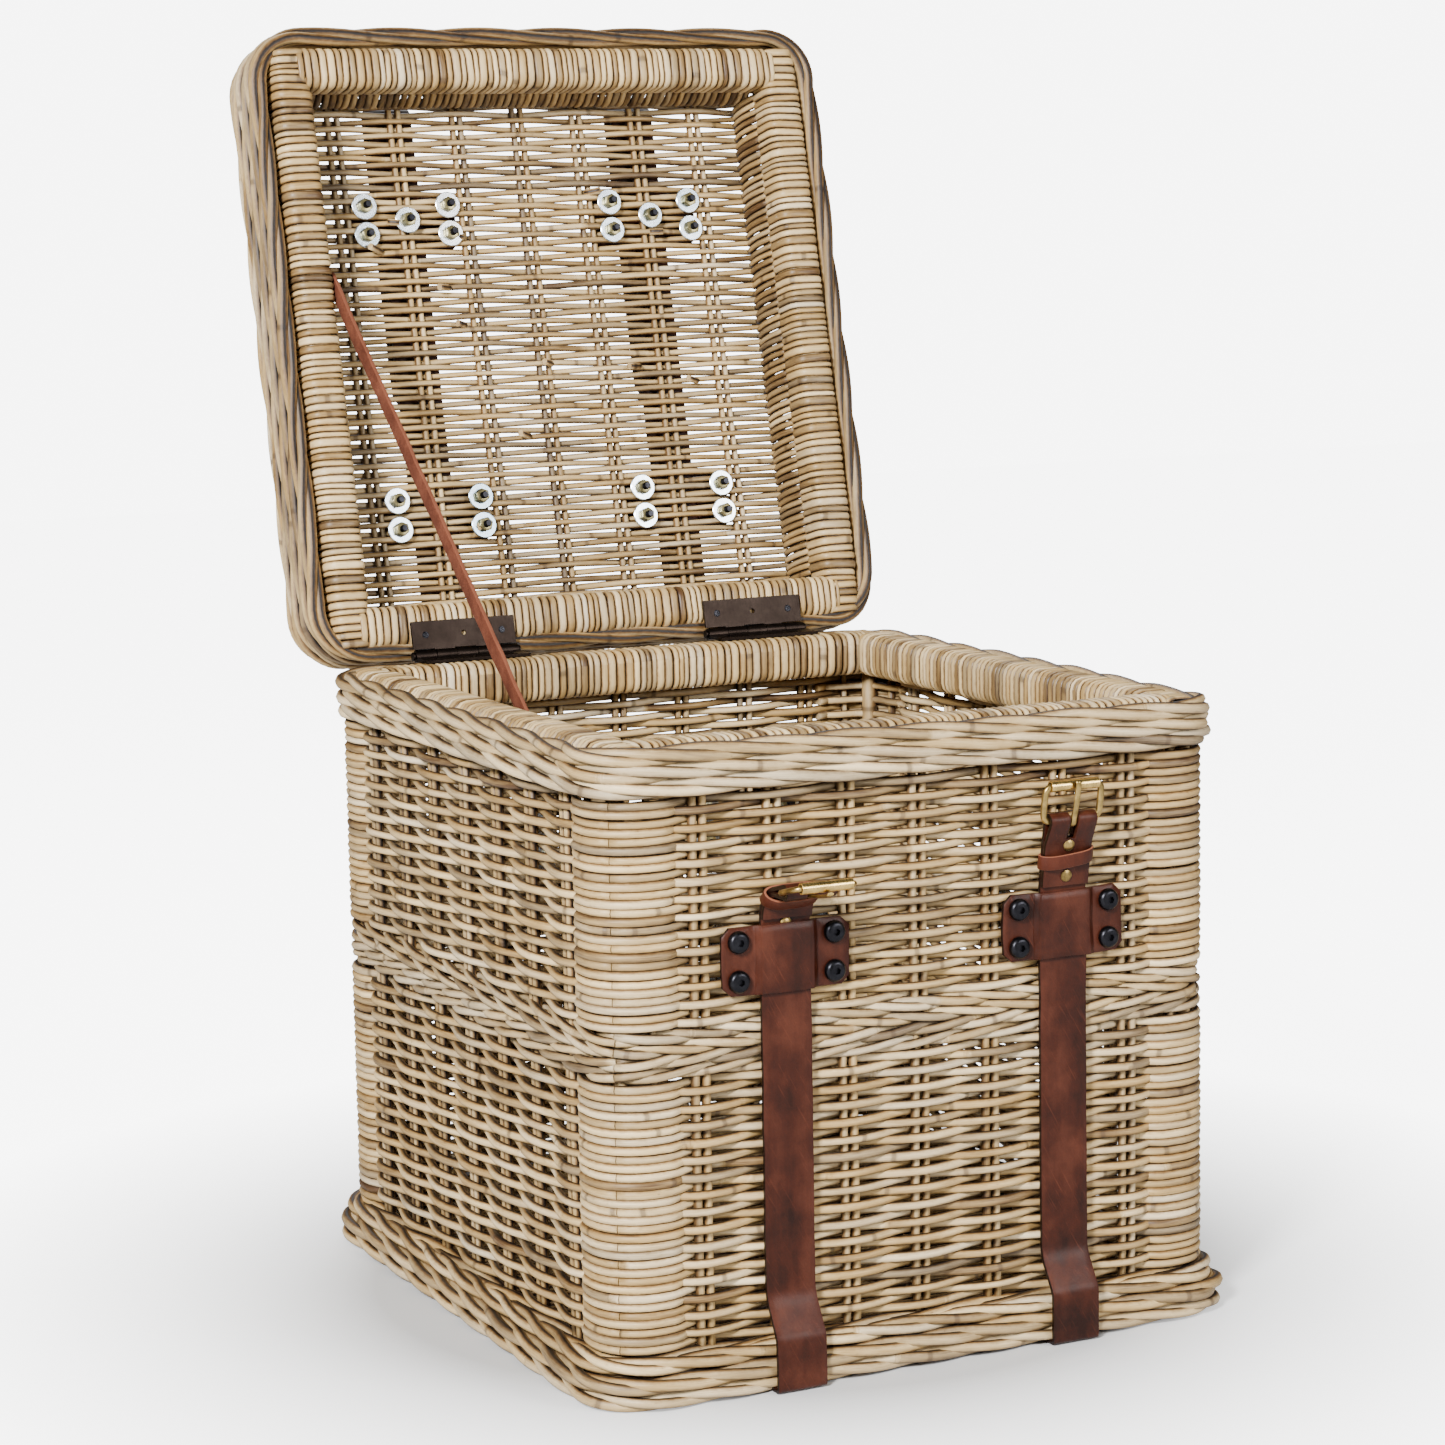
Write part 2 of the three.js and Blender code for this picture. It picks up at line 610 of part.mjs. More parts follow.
function trunkBelt(belt) {
  const second = BELT_THICKNESS + CLEARANCE; // the turned-back end lies on the belt
  const pace = 4;
  const points = [];
  for (let s = FLAP_START; s < STRAP_END - FOLD_TAPER; s += pace) points.push(onFront(belt, s, second));
  const steps = 8;
  for (let i = 0; i <= steps; i++) {
    const turn = Math.PI * (i / steps);
    const s = STRAP_END + heelOffset * Math.sin(turn);
    points.push(onFront(belt, s, heelOffset * (1 + Math.cos(turn))));
  }
  for (let s = STRAP_END - 1.5 * pace; s > 0; s -= pace) points.push(onFront(belt, s, 0));
  const onWall = wallY + CLEARANCE + BELT_THICKNESS / 2;
  const onFoot = rimY + FOOT_PROUD + CLEARANCE + BELT_THICKNESS / 2;
  const under = BELT_RECESS + BELT_THICKNESS / 2;
  const step = FOOT_HEIGHT + 4;
  const corners = [
    new THREE.Vector2(onWall, plateZ + PLATE_HEIGHT / 2),
    new THREE.Vector2(onWall, step + BELT_FLARE),
    new THREE.Vector2(onFoot, step),
    new THREE.Vector2(onFoot, under),
    new THREE.Vector2(-onFoot, under),
    new THREE.Vector2(-onFoot, step),
    new THREE.Vector2(-onWall, step + BELT_FLARE),
    new THREE.Vector2(-onWall, plateZ + PLATE_HEIGHT / 2 + BELT_BACK_END),
  ];
  const gentle = 8;
  const firm = 4;
  const sharp = 2;
  points.push(...route(corners, [gentle, firm, sharp, sharp, firm, gentle]));
  const strip = ribbon(points, BELT_THICKNESS, BELT_WIDTH);
  const heel = onFront(belt, STRAP_END, heelOffset);
  const side = EYE_WIDTH / 2 + EYE_PLAY;
  const slot = block(-side, side, -PRONG_SLOT, PRONG_SLOT, -PRONG_SLOT, PRONG_SLOT);
  slot.rotateX(THREE.MathUtils.degToRad(belt.curl)).translate(0, -heel.x, heel.y);
  return cut(strip, slot);
}

// The lid's belt lies along the lid; its tail folds back over it from in front of the front plate.
function lidBelt() {
  const half = BELT_THICKNESS / 2;
  const flat = lidOuter + CLEARANCE + half;
  const plateTop = flat + half + 2 * CLEARANCE + PLATE_THICKNESS;
  const high = plateTop + HEAD_HEIGHT + CLEARANCE + TAIL_LIFT + half;
  const fold = -frontPlateY() + TAIL_FOLD;
  const radius = (high - flat) / 2;
  const tip = -rearPlateY() + PLATE_HEIGHT / 2 + TAIL_STOP;
  const points = [new THREE.Vector2(HINGE_SET_BACK + STRAP_START, flat)];
  const steps = 8;
  for (let i = 0; i <= steps; i++) {
    const turn = Math.PI * (i / steps);
    points.push(new THREE.Vector2(fold + radius * Math.sin(turn), flat + radius * (1 - Math.cos(turn))));
  }
  points.push(new THREE.Vector2(tip, high));
  const strip = ribbon(points, BELT_THICKNESS, BELT_WIDTH);
  const holes = [];
  for (let i = 0; i < TAIL_HOLES; i++) {
    const along = -tip - TAIL_TIP_TO_HOLE - i * TAIL_HOLE_PITCH;
    const from = new THREE.Vector3(0, along, high - BELT_THICKNESS);
    holes.push(bar(from, from.clone().setZ(high + BELT_THICKNESS), TAIL_HOLE_RADIUS, 10));
  }
  const middle = new THREE.Vector3(0, frontPlateY(), flat - BELT_THICKNESS);
  holes.push(bar(middle, middle.clone().setZ(flat + BELT_THICKNESS), BOLT_RADIUS + CLEARANCE, 10));
  return cut(strip, ...holes, ...tipCutters(-tip, high));
}

// Two wedges that leave the tail's end a blunt point.
function tipCutters(tipY, z) {
  const half = BELT_WIDTH / 2;
  return [-1, 1].map((sign) => {
    const wedge = new THREE.Shape([
      new THREE.Vector2(sign * half * TAIL_TIP_SHARE, tipY + 1),
      new THREE.Vector2(sign * (half + 1), tipY + 1),
      new THREE.Vector2(sign * (half + 1), tipY - half),
      new THREE.Vector2(sign * half, tipY - half),
    ]);
    return raise(wedge, z - BELT_THICKNESS, z + BELT_THICKNESS);
  });
}

// ---------------------------------------------------------------- buckles, about their heel bars
function buckleFrame() {
  const arm = BELT_WIDTH / 2 + ARM_PLAY + BUCKLE_WIRE;
  const corner = (x, z) => new THREE.Vector3(x, 0, z);
  const ball = new THREE.SphereGeometry(BUCKLE_WIRE, 12, 6).rotateZ(Math.PI / 2);
  return join(
    bar(corner(-arm, 0), corner(arm, 0), BUCKLE_WIRE),
    bar(corner(-arm, BUCKLE_TALL), corner(arm, BUCKLE_TALL), BUCKLE_WIRE),
    bar(corner(-arm, 0), corner(-arm, BUCKLE_TALL), BUCKLE_WIRE),
    bar(corner(arm, 0), corner(arm, BUCKLE_TALL), BUCKLE_WIRE),
    ...[-arm, arm].flatMap((x) => [0, BUCKLE_TALL].map((z) => ball.clone().translate(x, 0, z))),
  );
}

function roller() {
  const half = BELT_WIDTH / 2 + ROLLER_PLAY;
  const tube = barX(-half, half, 0, BUCKLE_TALL, ROLLER_RADIUS);
  return cut(tube, barX(-half - 1, half + 1, 0, BUCKLE_TALL, BUCKLE_WIRE + CLEARANCE));
}

function prong() {
  const eye = barX(-EYE_WIDTH / 2, EYE_WIDTH / 2, 0, 0, EYE_RADIUS);
  const start = -BUCKLE_WIRE - CLEARANCE - PRONG_RADIUS - PRONG_LIFT;
  const over = -ROLLER_RADIUS - CLEARANCE - PRONG_RADIUS - PRONG_LIFT;
  const root = new THREE.Vector3(0, start, 0);
  const finger = bar(root, new THREE.Vector3(0, over, PRONG_LENGTH), PRONG_RADIUS, 10);
  const bore = barX(-EYE_WIDTH, EYE_WIDTH, 0, 0, BUCKLE_WIRE + CLEARANCE);
  return cut(join(eye, finger), bore);
}

// The loop is straight, so on a bent stretch of belt it is opened by the belt's bulge.
function keeperLoop(belt) {
  const onBend = LOOP_PLACE - LOOP_WIDTH / 2 < belt.bend;
  const bendRadius = belt.bend / THREE.MathUtils.degToRad(belt.curl);
  const bulge = onBend ? (LOOP_WIDTH * LOOP_WIDTH) / 8 / bendRadius : 0;
  const innerX = BELT_WIDTH / 2 + LOOP_SIDE_PLAY;
  const innerY = BELT_THICKNESS + CLEARANCE / 2 + LOOP_PLAY + bulge;
  const outerX = innerX + LOOP_THICKNESS;
  const outerY = innerY + LOOP_THICKNESS;
  const outer = block(-outerX, outerX, -outerY, outerY, -LOOP_WIDTH / 2, LOOP_WIDTH / 2);
  return cut(outer, block(-innerX, innerX, -innerY, innerY, -LOOP_WIDTH, LOOP_WIDTH));
}

function makeBelts(trunk, lid) {
  for (const belt of BELTS) {
    const x = belt.sign * beltX;
    add(trunk, `${belt.side}_trunk_belt`, trunkBelt(belt), leather, [x, 0, 0]);
    add(lid, `${belt.side}_lid_belt`, lidBelt(), leather, [x, 0, 0]);

    const heel = onFront(belt, STRAP_END, heelOffset);
    const buckle = new THREE.Group();
    buckle.position.set(x, -heel.x, heel.y);
    buckle.rotation.x = onStrap(belt, STRAP_END, 0).turned;
    trunk.add(buckle);
    add(buckle, `${belt.side}_buckle_frame`, buckleFrame(), brass);
    add(buckle, `${belt.side}_buckle_roller`, roller(), brass);
    add(buckle, `${belt.side}_buckle_prong`, prong(), brass);

    const place = onFront(belt, LOOP_PLACE, (BELT_THICKNESS + CLEARANCE) / 2);
    const loop = add(trunk, `${belt.side}_keeper_loop`, keeperLoop(belt), leather, [x, -place.x, place.y]);
    loop.rotation.x = onStrap(belt, LOOP_PLACE, 0).turned;
  }
}

// ---------------------------------------------------------------- the suede strap that holds the lid
function makeStay(trunk) {
  const open = THREE.MathUtils.degToRad(LID_OPEN);
  const lidEnd = new THREE.Vector2(-STAY_ON_LID, lidFace + RAIL_HEIGHT / 2).rotateAround(
    new THREE.Vector2(),
    -open,
  );
  const from = new THREE.Vector2(hingeY + lidEnd.x, hingeZ + lidEnd.y);
  const to = new THREE.Vector2(hingeY - STAY_ON_RIM, TRUNK_HEIGHT - RAIL_HEIGHT / 2);
  const run = from.clone().sub(to);
  const strip = new THREE.BoxGeometry(STAY_THICKNESS, run.length(), STAY_WIDTH);
  strip.rotateX(run.angle());
  const middle = from.clone().add(to).multiplyScalar(0.5);
  const x = -rimX + RAIL_WIDTH + CLEARANCE + STAY_THICKNESS / 2;
  add(trunk, "stay_strap", strip, suede, [x, middle.x, middle.y]);
}

// ---------------------------------------------------------------- the whole trunk
const trunk = new THREE.Group();
const lid = new THREE.Group();
lid.position.set(0, hingeY, hingeZ);
lid.rotation.x = -THREE.MathUtils.degToRad(LID_OPEN);
trunk.add(lid);

makeWalls(trunk);
makePosts(trunk);
makeRings(trunk);
makeLid(lid);
makeHinges(trunk, lid);
makeFrontPlates(trunk);
makeLidPlates(lid);
makeBelts(trunk, lid);
makeStay(trunk);

export default trunk;
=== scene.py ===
# Wicker storage trunk: woven walls, rope borders, wrapped rims, leather belts and brass buckles,
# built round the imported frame. Lengths are in metres, +Z is up and the front faces -Y.
import json
import math
import random

import bpy
import numpy as np
from mathutils import Matrix, Vector, noise
from mathutils.bvhtree import BVHTree


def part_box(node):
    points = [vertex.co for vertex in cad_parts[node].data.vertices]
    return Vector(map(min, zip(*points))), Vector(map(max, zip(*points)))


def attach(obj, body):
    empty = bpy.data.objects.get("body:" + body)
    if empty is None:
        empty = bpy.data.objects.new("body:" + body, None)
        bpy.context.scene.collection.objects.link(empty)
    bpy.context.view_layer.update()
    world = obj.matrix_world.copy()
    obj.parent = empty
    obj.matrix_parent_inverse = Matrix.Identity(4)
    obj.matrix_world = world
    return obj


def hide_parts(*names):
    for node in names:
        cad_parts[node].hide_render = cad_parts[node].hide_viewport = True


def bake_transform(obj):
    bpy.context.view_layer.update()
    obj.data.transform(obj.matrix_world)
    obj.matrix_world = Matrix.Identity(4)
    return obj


bl_info = {
    "name": "Wicker Storage Trunk",
    "version": (1, 0, 0),
    "blender": (4, 5, 0),
    "location": "3D View > Sidebar > Trunk",
    "description": "Builds the weave, leather and metalwork of a wicker trunk round its frame",
    "category": "Object",
}

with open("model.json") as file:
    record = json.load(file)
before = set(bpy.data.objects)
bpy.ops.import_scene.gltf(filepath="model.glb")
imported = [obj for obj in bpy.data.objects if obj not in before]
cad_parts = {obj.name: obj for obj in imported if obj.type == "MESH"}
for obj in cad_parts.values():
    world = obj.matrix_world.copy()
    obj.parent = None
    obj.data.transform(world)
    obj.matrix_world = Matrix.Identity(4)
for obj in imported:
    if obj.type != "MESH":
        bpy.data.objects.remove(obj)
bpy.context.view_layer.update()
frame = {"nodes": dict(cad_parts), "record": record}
MM = 0.001
SIDES = (("left", -1), ("right", 1))

# ---------------------------------------------------------------- sizes read from the frame
JOINTS = {joint["name"]: joint for joint in frame["record"]["behaviour"]["joints"]}
HINGE = Vector(JOINTS["lid_hinge"]["pos_m"])
OPEN = math.radians(JOINTS["lid_hinge"]["range_deg"][1])
LID = Matrix.Translation(HINGE) @ Matrix.Rotation(-OPEN, 4, "X")


def shut_box(node):
    """The lowest and highest corners of a lid node with the lid shut, in the hinge's frame."""
    back = LID.inverted()
    corners = [back @ vertex.co for vertex in frame["nodes"][node].data.vertices]
    low = Vector(min(c[i] for c in corners) for i in range(3))
    high = Vector(max(c[i] for c in corners) for i in range(3))
    return low, high


rim_low, rim_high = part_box("rim_frame")
wall_low, wall_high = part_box("left_wall")[0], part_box("right_wall")[1]
WALL_X = wall_high.x
WALL_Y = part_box("back_wall")[1].y
WALL_BOTTOM, WALL_TOP = wall_low.z, wall_high.z
WALL_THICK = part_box("left_wall")[1].x - wall_low.x
RAIL_HEIGHT = rim_high.z - rim_low.z
panel_low, panel_high = shut_box("lid_panel")
lid_rim_low, lid_rim_high = shut_box("lid_rim_frame")
skirt_low, skirt_high = shut_box("lid_skirt")
RAIL_WIDTH = rim_high.x - panel_high.x - 0.3 * MM


def add_object(name, data):
    made = bpy.data.objects.new(name, data)
    bpy.context.scene.collection.objects.link(made)
    return made


# ---------------------------------------------------------------- strands
class Canework:
    """Gathers round strands and flat wraps into one mesh, each strand with its own tone.

    The UV map "strand" runs round a strand in u and along it in v, in metres. The attribute
    "tone" holds each strand's lightness, greyness and a number of its own, and in its alpha how far
    each place is from the crevices beside the strand, which the rattan finish turns into painted shade.
    """

    def __init__(self):
        self.points, self.loops, self.counts = [], [], []
        self.uvs, self.tones = [], []
        self.total = 0

    def tube(self, path, out, radius, tone, sides=8, flat=1.0, start=0.0, closed=False):
        """A strand along path. out is the direction that flat thins it in; tone is one or one per point."""
        path = np.asarray(path, float)
        count = len(path)
        if closed:
            tangent = np.roll(path, -1, 0) - np.roll(path, 1, 0)
        else:
            tangent = np.gradient(path, axis=0)
        tangent /= np.linalg.norm(tangent, axis=1)[:, None]
        out = np.broadcast_to(np.asarray(out, float), path.shape)
        across = np.cross(tangent, out)
        across /= np.linalg.norm(across, axis=1)[:, None]
        lift = np.cross(across, tangent)
        angle = np.arange(sides) * math.tau / sides
        radius = np.broadcast_to(np.asarray(radius, float), (count,))[:, None, None]
        ring = np.cos(angle)[None, :, None] * across[:, None, :]
        ring = ring + flat * np.sin(angle)[None, :, None] * lift[:, None, :]
        verts = path[:, None, :] + radius * ring
        step = np.linalg.norm(np.diff(path, axis=0, append=path[:1]), axis=1)
        along = start + np.concatenate([[0.0], np.cumsum(step)])
        around = math.tau * float(radius.mean()) / sides
        last = count if closed else count - 1
        i, j = np.meshgrid(np.arange(last), np.arange(sides), indexing="ij")
        i, j = i.ravel(), j.ravel()
        after, beside = (i + 1) % count, (j + 1) % sides
        quads = np.stack([i * sides + j, i * sides + beside, after * sides + beside, after * sides + j], 1)
        uv = np.stack(
            [
                np.stack([j * around, along[i]], 1),
                np.stack([(j + 1) * around, along[i]], 1),
                np.stack([(j + 1) * around, along[i + 1]], 1),
                np.stack([j * around, along[i + 1]], 1),
            ],
            1,
        )
        # alpha is 0 where the strand faces its neighbours and 1 where it faces out or in; the finish paints
        # shade in the crevices from it
        clear = np.tile(np.abs(np.sin(angle)), count)[:, None]
        tones = np.concatenate([np.repeat(self._per_point(tone, count), sides, 0), clear], 1)
        self.add(verts.reshape(-1, 3), quads, uv, tones)
        if not closed:
            for end, order in ((0, -1), (count - 1, 1)):
                self._cap(end * sides + np.arange(sides)[::order], along[end], around)

    @staticmethod
    def _per_point(tone, count):
        return np.broadcast_to(np.asarray(tone, float), (count, 3))

    def add(self, verts, faces, uv, tones):
        self.points.append(verts)
        self.loops.append((faces + self.total).ravel())
        self.counts.append(np.full(len(faces), faces.shape[1]))
        self.uvs.append(uv.reshape(-1, 2))
        self.tones.append(tones)
        self.base, self.total = self.total, self.total + len(verts)

    def _cap(self, ring, along, around):
        self.loops.append(ring + self.base)
        self.counts.append(np.array([len(ring)]))
        corner = np.arange(len(ring)) * around * 0.2
        self.uvs.append(np.stack([corner, np.full(len(ring), along)], 1))

    def build(self, name, material, body, slot, node=None, matrix=None):
        """Makes the mesh object, placed by matrix, that rides on a body and replaces a node."""
        verts = np.concatenate(self.points)
        if matrix is not None:
            turn = np.array(matrix)
            verts = verts @ turn[:3, :3].T + turn[:3, 3]
        loops = np.concatenate(self.loops)
        counts = np.concatenate(self.counts)
        mesh = bpy.data.meshes.new(name)
        mesh.vertices.add(len(verts))
        mesh.vertices.foreach_set("co", verts.ravel())
        mesh.loops.add(len(loops))
        mesh.loops.foreach_set("vertex_index", loops.astype(np.int32))
        mesh.polygons.add(len(counts))
        starts = np.concatenate([[0], np.cumsum(counts)[:-1]]).astype(np.int32)
        mesh.polygons.foreach_set("loop_start", starts)
        mesh.polygons.foreach_set("use_smooth", counts == 4)
        uv = mesh.uv_layers.new(name="strand")
        uv.data.foreach_set("uv", np.concatenate(self.uvs).ravel())
        tones = np.concatenate(self.tones)
        attribute = mesh.attributes.new("tone", "FLOAT_COLOR", "POINT")
        attribute.data.foreach_set("color", tones.ravel())
        mesh.update(calc_edges=True)
        mesh.materials.append(material)
        piece = add_object(name, mesh)
        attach(piece, body)
        if node:
            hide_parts(node)


def pick_tone(dice, grey=0.35, light=0.5, spread=0.3):
    """A strand's lightness, greyness and own number."""
    lightness = min(max(dice.gauss(light, spread * 0.6), 0.0), 1.0)
    greyness = min(max(dice.gauss(grey, 0.28), 0.0), 1.0)
    return (lightness, greyness, dice.random())


class Loop:
    """A rounded rectangle, walked anticlockwise from the middle of its back right corner."""

    def __init__(self, x, y0, y1, radius):
        self.radius = radius
        self.quarter = radius * math.pi / 2
        self.straights = (2 * (x - radius), y1 - y0 - 2 * radius) * 2
        left, right, front, back = -x + radius, x - radius, y0 + radius, y1 - radius
        self.centres = ((right, back), (left, back), (left, front), (right, front))
        lengths = [straight + self.quarter for straight in self.straights]
        self.starts = np.concatenate([[0.0], np.cumsum(lengths)])
        self.length = self.starts[-1]

    def at(self, s):
        """Places and outward directions at distances s along the loop, at height 0."""
        s = np.mod(np.asarray(s, float), self.length)
        place = np.zeros((len(s), 3))
        out = np.zeros((len(s), 3))
        side = np.clip(np.searchsorted(self.starts, s, side="right") - 1, 0, 3)
        for k in range(4):
            here = side == k
            if not here.any():
                continue
            t = s[here] - self.starts[k]
            straight = self.straights[k]
            half = self.quarter / 2
            turn = np.where(t < half, (t - half) / self.radius, 0.0)
            turn = np.where(t > half + straight, (t - half - straight) / self.radius, turn)
            run = np.clip(t - half, 0, straight)
            heading = math.pi + k * math.pi / 2
            along = np.array([math.cos(heading), math.sin(heading)])
            facing = np.array([math.sin(heading), -math.cos(heading)])
            normal = np.cos(turn)[:, None] * facing + np.sin(turn)[:, None] * along
            spot = np.array(self.centres[k]) + run[:, None] * along + self.radius * normal
            place[here, :2] = spot
            out[here, :2] = normal
        return place, out

    def side_middle(self, k):
        return (self.starts[k] + self.starts[k + 1]) / 2


def eased(s, keys):
    """A value along s that eases from key to key, the keys being (place, value) in order."""
    places, values = np.array([key[0] for key in keys]), np.array([key[1] for key in keys])
    k = np.clip(np.searchsorted(places, s, side="right") - 1, 0, len(places) - 2)
    t = np.clip((s - places[k]) / (places[k + 1] - places[k]), 0, 1)
    t = (1 - np.cos(math.pi * t)) / 2
    return values[k] * (1 - t) + values[k + 1] * t


def rope(cane, loop, height, dice, strands=3, wave=165 * MM, out=6 * MM, rise=3 * MM, thick=4.4 * MM,
         phase=0.0, hand=1, inner=0.4, grey=0.5, light=0.55, step=5.5 * MM, span=None):
    """One row of twisted strands round a loop, or along a span of it.

    inner flattens the side that lies on the wall, and step is the distance between a strand's points.
    """
    length = loop.length if span is None else span[1] - span[0]
    first = 0.0 if span is None else span[0]
    turns = max(round(length / wave), 1)
    count = int(length / step)
    s = first + np.linspace(0, length, count + (span is not None), endpoint=span is not None)
    place, outward = loop.at(s)
    for strand in range(strands):
        angle = hand * (s - first) / length * turns * math.tau + math.tau * strand / strands + phase
        depth = np.cos(angle)
        depth = out * np.where(depth > 0, depth, depth * inner)
        wobble = 0.5 * MM * np.sin(s * dice.uniform(6, 12) + dice.uniform(0, 6))
        climb = rise * np.sin(angle) + wobble + height
        path = place + outward * depth[:, None]
        path[:, 2] = climb
        tones = spliced(s, dice, grey, light, length)
        radius = thick * dice.uniform(0.93, 1.07) * (1 + 0.05 * np.sin(s * dice.uniform(15, 30)))
        cane.tube(path, outward, radius, tones, 8, start=dice.uniform(0, 9), closed=span is None)


def spliced(s, dice, grey, light, length, pieces=4):
    """Tones along a row that is made of several strands, one after another."""
    ends = sorted(dice.uniform(0, length) + s[0] for _ in range(pieces - 1))
    tones = np.array([pick_tone(dice, grey, light) for _ in range(pieces)])
    return tones[np.searchsorted(ends, s)]


# ---------------------------------------------------------------- materials
def new_material(name):
    material = bpy.data.materials.new(name)
    material.use_nodes = True
    return material, material.node_tree, material.node_tree.nodes["Principled BSDF"]


class Nodes:
    """Short names for the nodes that the finishes are wired from."""

    def __init__(self, tree):
        self.tree = tree

    def node(self, kind, **settings):
        made = self.tree.nodes.new("ShaderNode" + kind)
        for key, value in settings.items():
            setattr(made, key, value)
        return made

    def link(self, source, target):
        self.tree.links.new(source, target)

    def maths(self, operation, a, b=0.5, c=None):
        made = self.node("Math", operation=operation)
        for socket, value in zip(made.inputs, (a, b, c)):
            if value is None:
                continue
            if isinstance(value, (int, float)):
                socket.default_value = value
            else:
                self.link(value, socket)
        return made.outputs[0]

    def noise(self, vector, scale, detail=3.0, rough=0.55):
        made = self.node("TexNoise")
        made.inputs["Scale"].default_value = scale
        made.inputs["Detail"].default_value = detail
        made.inputs["Roughness"].default_value = rough
        self.link(vector, made.inputs["Vector"])
        return made.outputs["Fac"]

    def stretch(self, vector, scale):
        made = self.node("VectorMath", operation="MULTIPLY")
        made.inputs[1].default_value = scale
        self.link(vector, made.inputs[0])
        return made.outputs[0]

    def ramp(self, factor, stops):
        made = self.node("ValToRGB")
        elements = made.color_ramp.elements
        while len(elements) < len(stops):
            elements.new(0.5)
        for element, (position, colour) in zip(elements, stops):
            element.position = position
            element.color = (*colour, 1)
        self.link(factor, made.inputs[0])
        return made.outputs[0]

    def mix(self, factor, a, b, blend="MIX"):
        made = self.node("Mix", data_type="RGBA", blend_type=blend)
        sockets = (made.inputs[0], made.inputs[6], made.inputs[7])
        for socket, value in zip(sockets, (factor, a, b)):
            if isinstance(value, (int, float)):
                socket.default_value = value
            elif isinstance(value, tuple):
                socket.default_value = (*value, 1)
            else:
                self.link(value, socket)
        return made.outputs[2]

    def bump(self, height, shader, strength=0.4, distance=0.3 * MM):
        made = self.node("Bump")
        made.inputs["Strength"].default_value = strength
        made.inputs["Distance"].default_value = distance
        self.link(height, made.inputs["Height"])
        self.link(made.outputs[0], shader.inputs["Normal"])


def cane_material(name, sizes, rough, ring_gap):
    """Rattan: long fibres, drifting tone, dark growth rings and small scars along each strand, and painted
    shade in the crevices beside it.
    """
    material, tree, shader = new_material(name)
    n = Nodes(tree)
    uv = n.node("UVMap", uv_map="strand").outputs[0]
    tone = n.node("Attribute", attribute_name="tone")
    parts = n.node("SeparateColor")
    n.link(tone.outputs["Color"], parts.inputs[0])
    light, grey, own = parts.outputs[0], parts.outputs[1], parts.outputs[2]
    shift = n.node("CombineXYZ")
    n.link(n.maths("MULTIPLY", own, 7.0), shift.inputs[2])
    placed = n.node("VectorMath", operation="ADD")
    n.link(uv, placed.inputs[0])
    n.link(shift.outputs[0], placed.inputs[1])
    along = placed.outputs[0]
    drift = n.noise(n.stretch(along, (90, 14, 1)), 1.0, 3)
    fibre = n.noise(n.stretch(along, (2600, 60, 1)), 1.0, 2)
    speck = n.noise(n.stretch(along, (420, 190, 1)), 1.0, 4, 0.7)
    lightness = n.maths("ADD", n.maths("MULTIPLY", light, 0.66), n.maths("MULTIPLY", drift, 0.8))
    lightness = n.maths("ADD", lightness, n.maths("MULTIPLY_ADD", fibre, 0.44, -0.46))
    warm = n.ramp(lightness, ((0.06, sizes.cane_dark), (0.42, sizes.cane_mid), (0.86, sizes.cane_light)))
    cool = n.ramp(lightness, ((0.06, sizes.grey_dark), (0.45, sizes.grey_mid), (0.9, sizes.grey_light)))
    colour = n.mix(n.maths("MULTIPLY", grey, 0.85), warm, cool)
    scars = n.ramp(speck, ((0.24, (1, 1, 1)), (0.33, (0, 0, 0))))
    colour = n.mix(n.maths("MULTIPLY", scars, 0.6), colour, sizes.cane_scar)
    split = n.node("SeparateXYZ")
    n.link(uv, split.inputs[0])
    walk = n.maths("ADD", n.maths("DIVIDE", split.outputs[1], ring_gap), n.maths("MULTIPLY", own, 13.0))
    wander = n.noise(n.stretch(along, (120, 3, 1)), 1.0, 1)
    walk = n.maths("FRACT", n.maths("ADD", walk, n.maths("MULTIPLY", wander, 0.012)), 0)
    off_ring = n.maths("ABSOLUTE", n.maths("SUBTRACT", walk, 0.5), 0)
    line = n.ramp(off_ring, ((0.0, (1, 1, 1)), (0.0045, (1, 1, 1)), (0.009, (0, 0, 0))))
    collar = n.ramp(off_ring, ((0.0, (1, 1, 1)), (0.055, (0, 0, 0))))
    colour = n.mix(n.maths("MULTIPLY", collar, 0.18), colour, sizes.cane_scar)
    colour = n.mix(n.maths("MULTIPLY", line, 0.6), colour, sizes.cane_ring)
    # painted shade: the tone's alpha, broken up by the speck noise, darkens each strand towards the crevices
    # beside it
    crevice_shade = n.maths("ADD", tone.outputs["Alpha"], n.maths("MULTIPLY_ADD", speck, 0.5, -0.25))
    crevice_shade = n.ramp(crevice_shade, ((0.14, (0.018, 0.01, 0.006)), (0.5, (0.36, 0.28, 0.21)), (0.88, (1, 1, 1))))
    colour = n.mix(1.0, colour, crevice_shade, "MULTIPLY")
    n.link(colour, shader.inputs["Base Color"])
    n.link(n.maths("MULTIPLY_ADD", speck, 0.25, rough - 0.12), shader.inputs["Roughness"])
    shader.inputs["IOR"].default_value = 1.46
    height = n.maths("ADD", n.maths("MULTIPLY", fibre, 0.5), n.maths("MULTIPLY", speck, 0.7))
    height = n.maths("SUBTRACT", height, n.maths("MULTIPLY", line, 0.8))
    n.bump(height, shader, 0.5, 0.25 * MM)
    return material


# ---------------------------------------------------------------- the weave
def stake_places(span, count=7, margin=16 * MM):
    return np.linspace(-span + margin, span - margin, count)


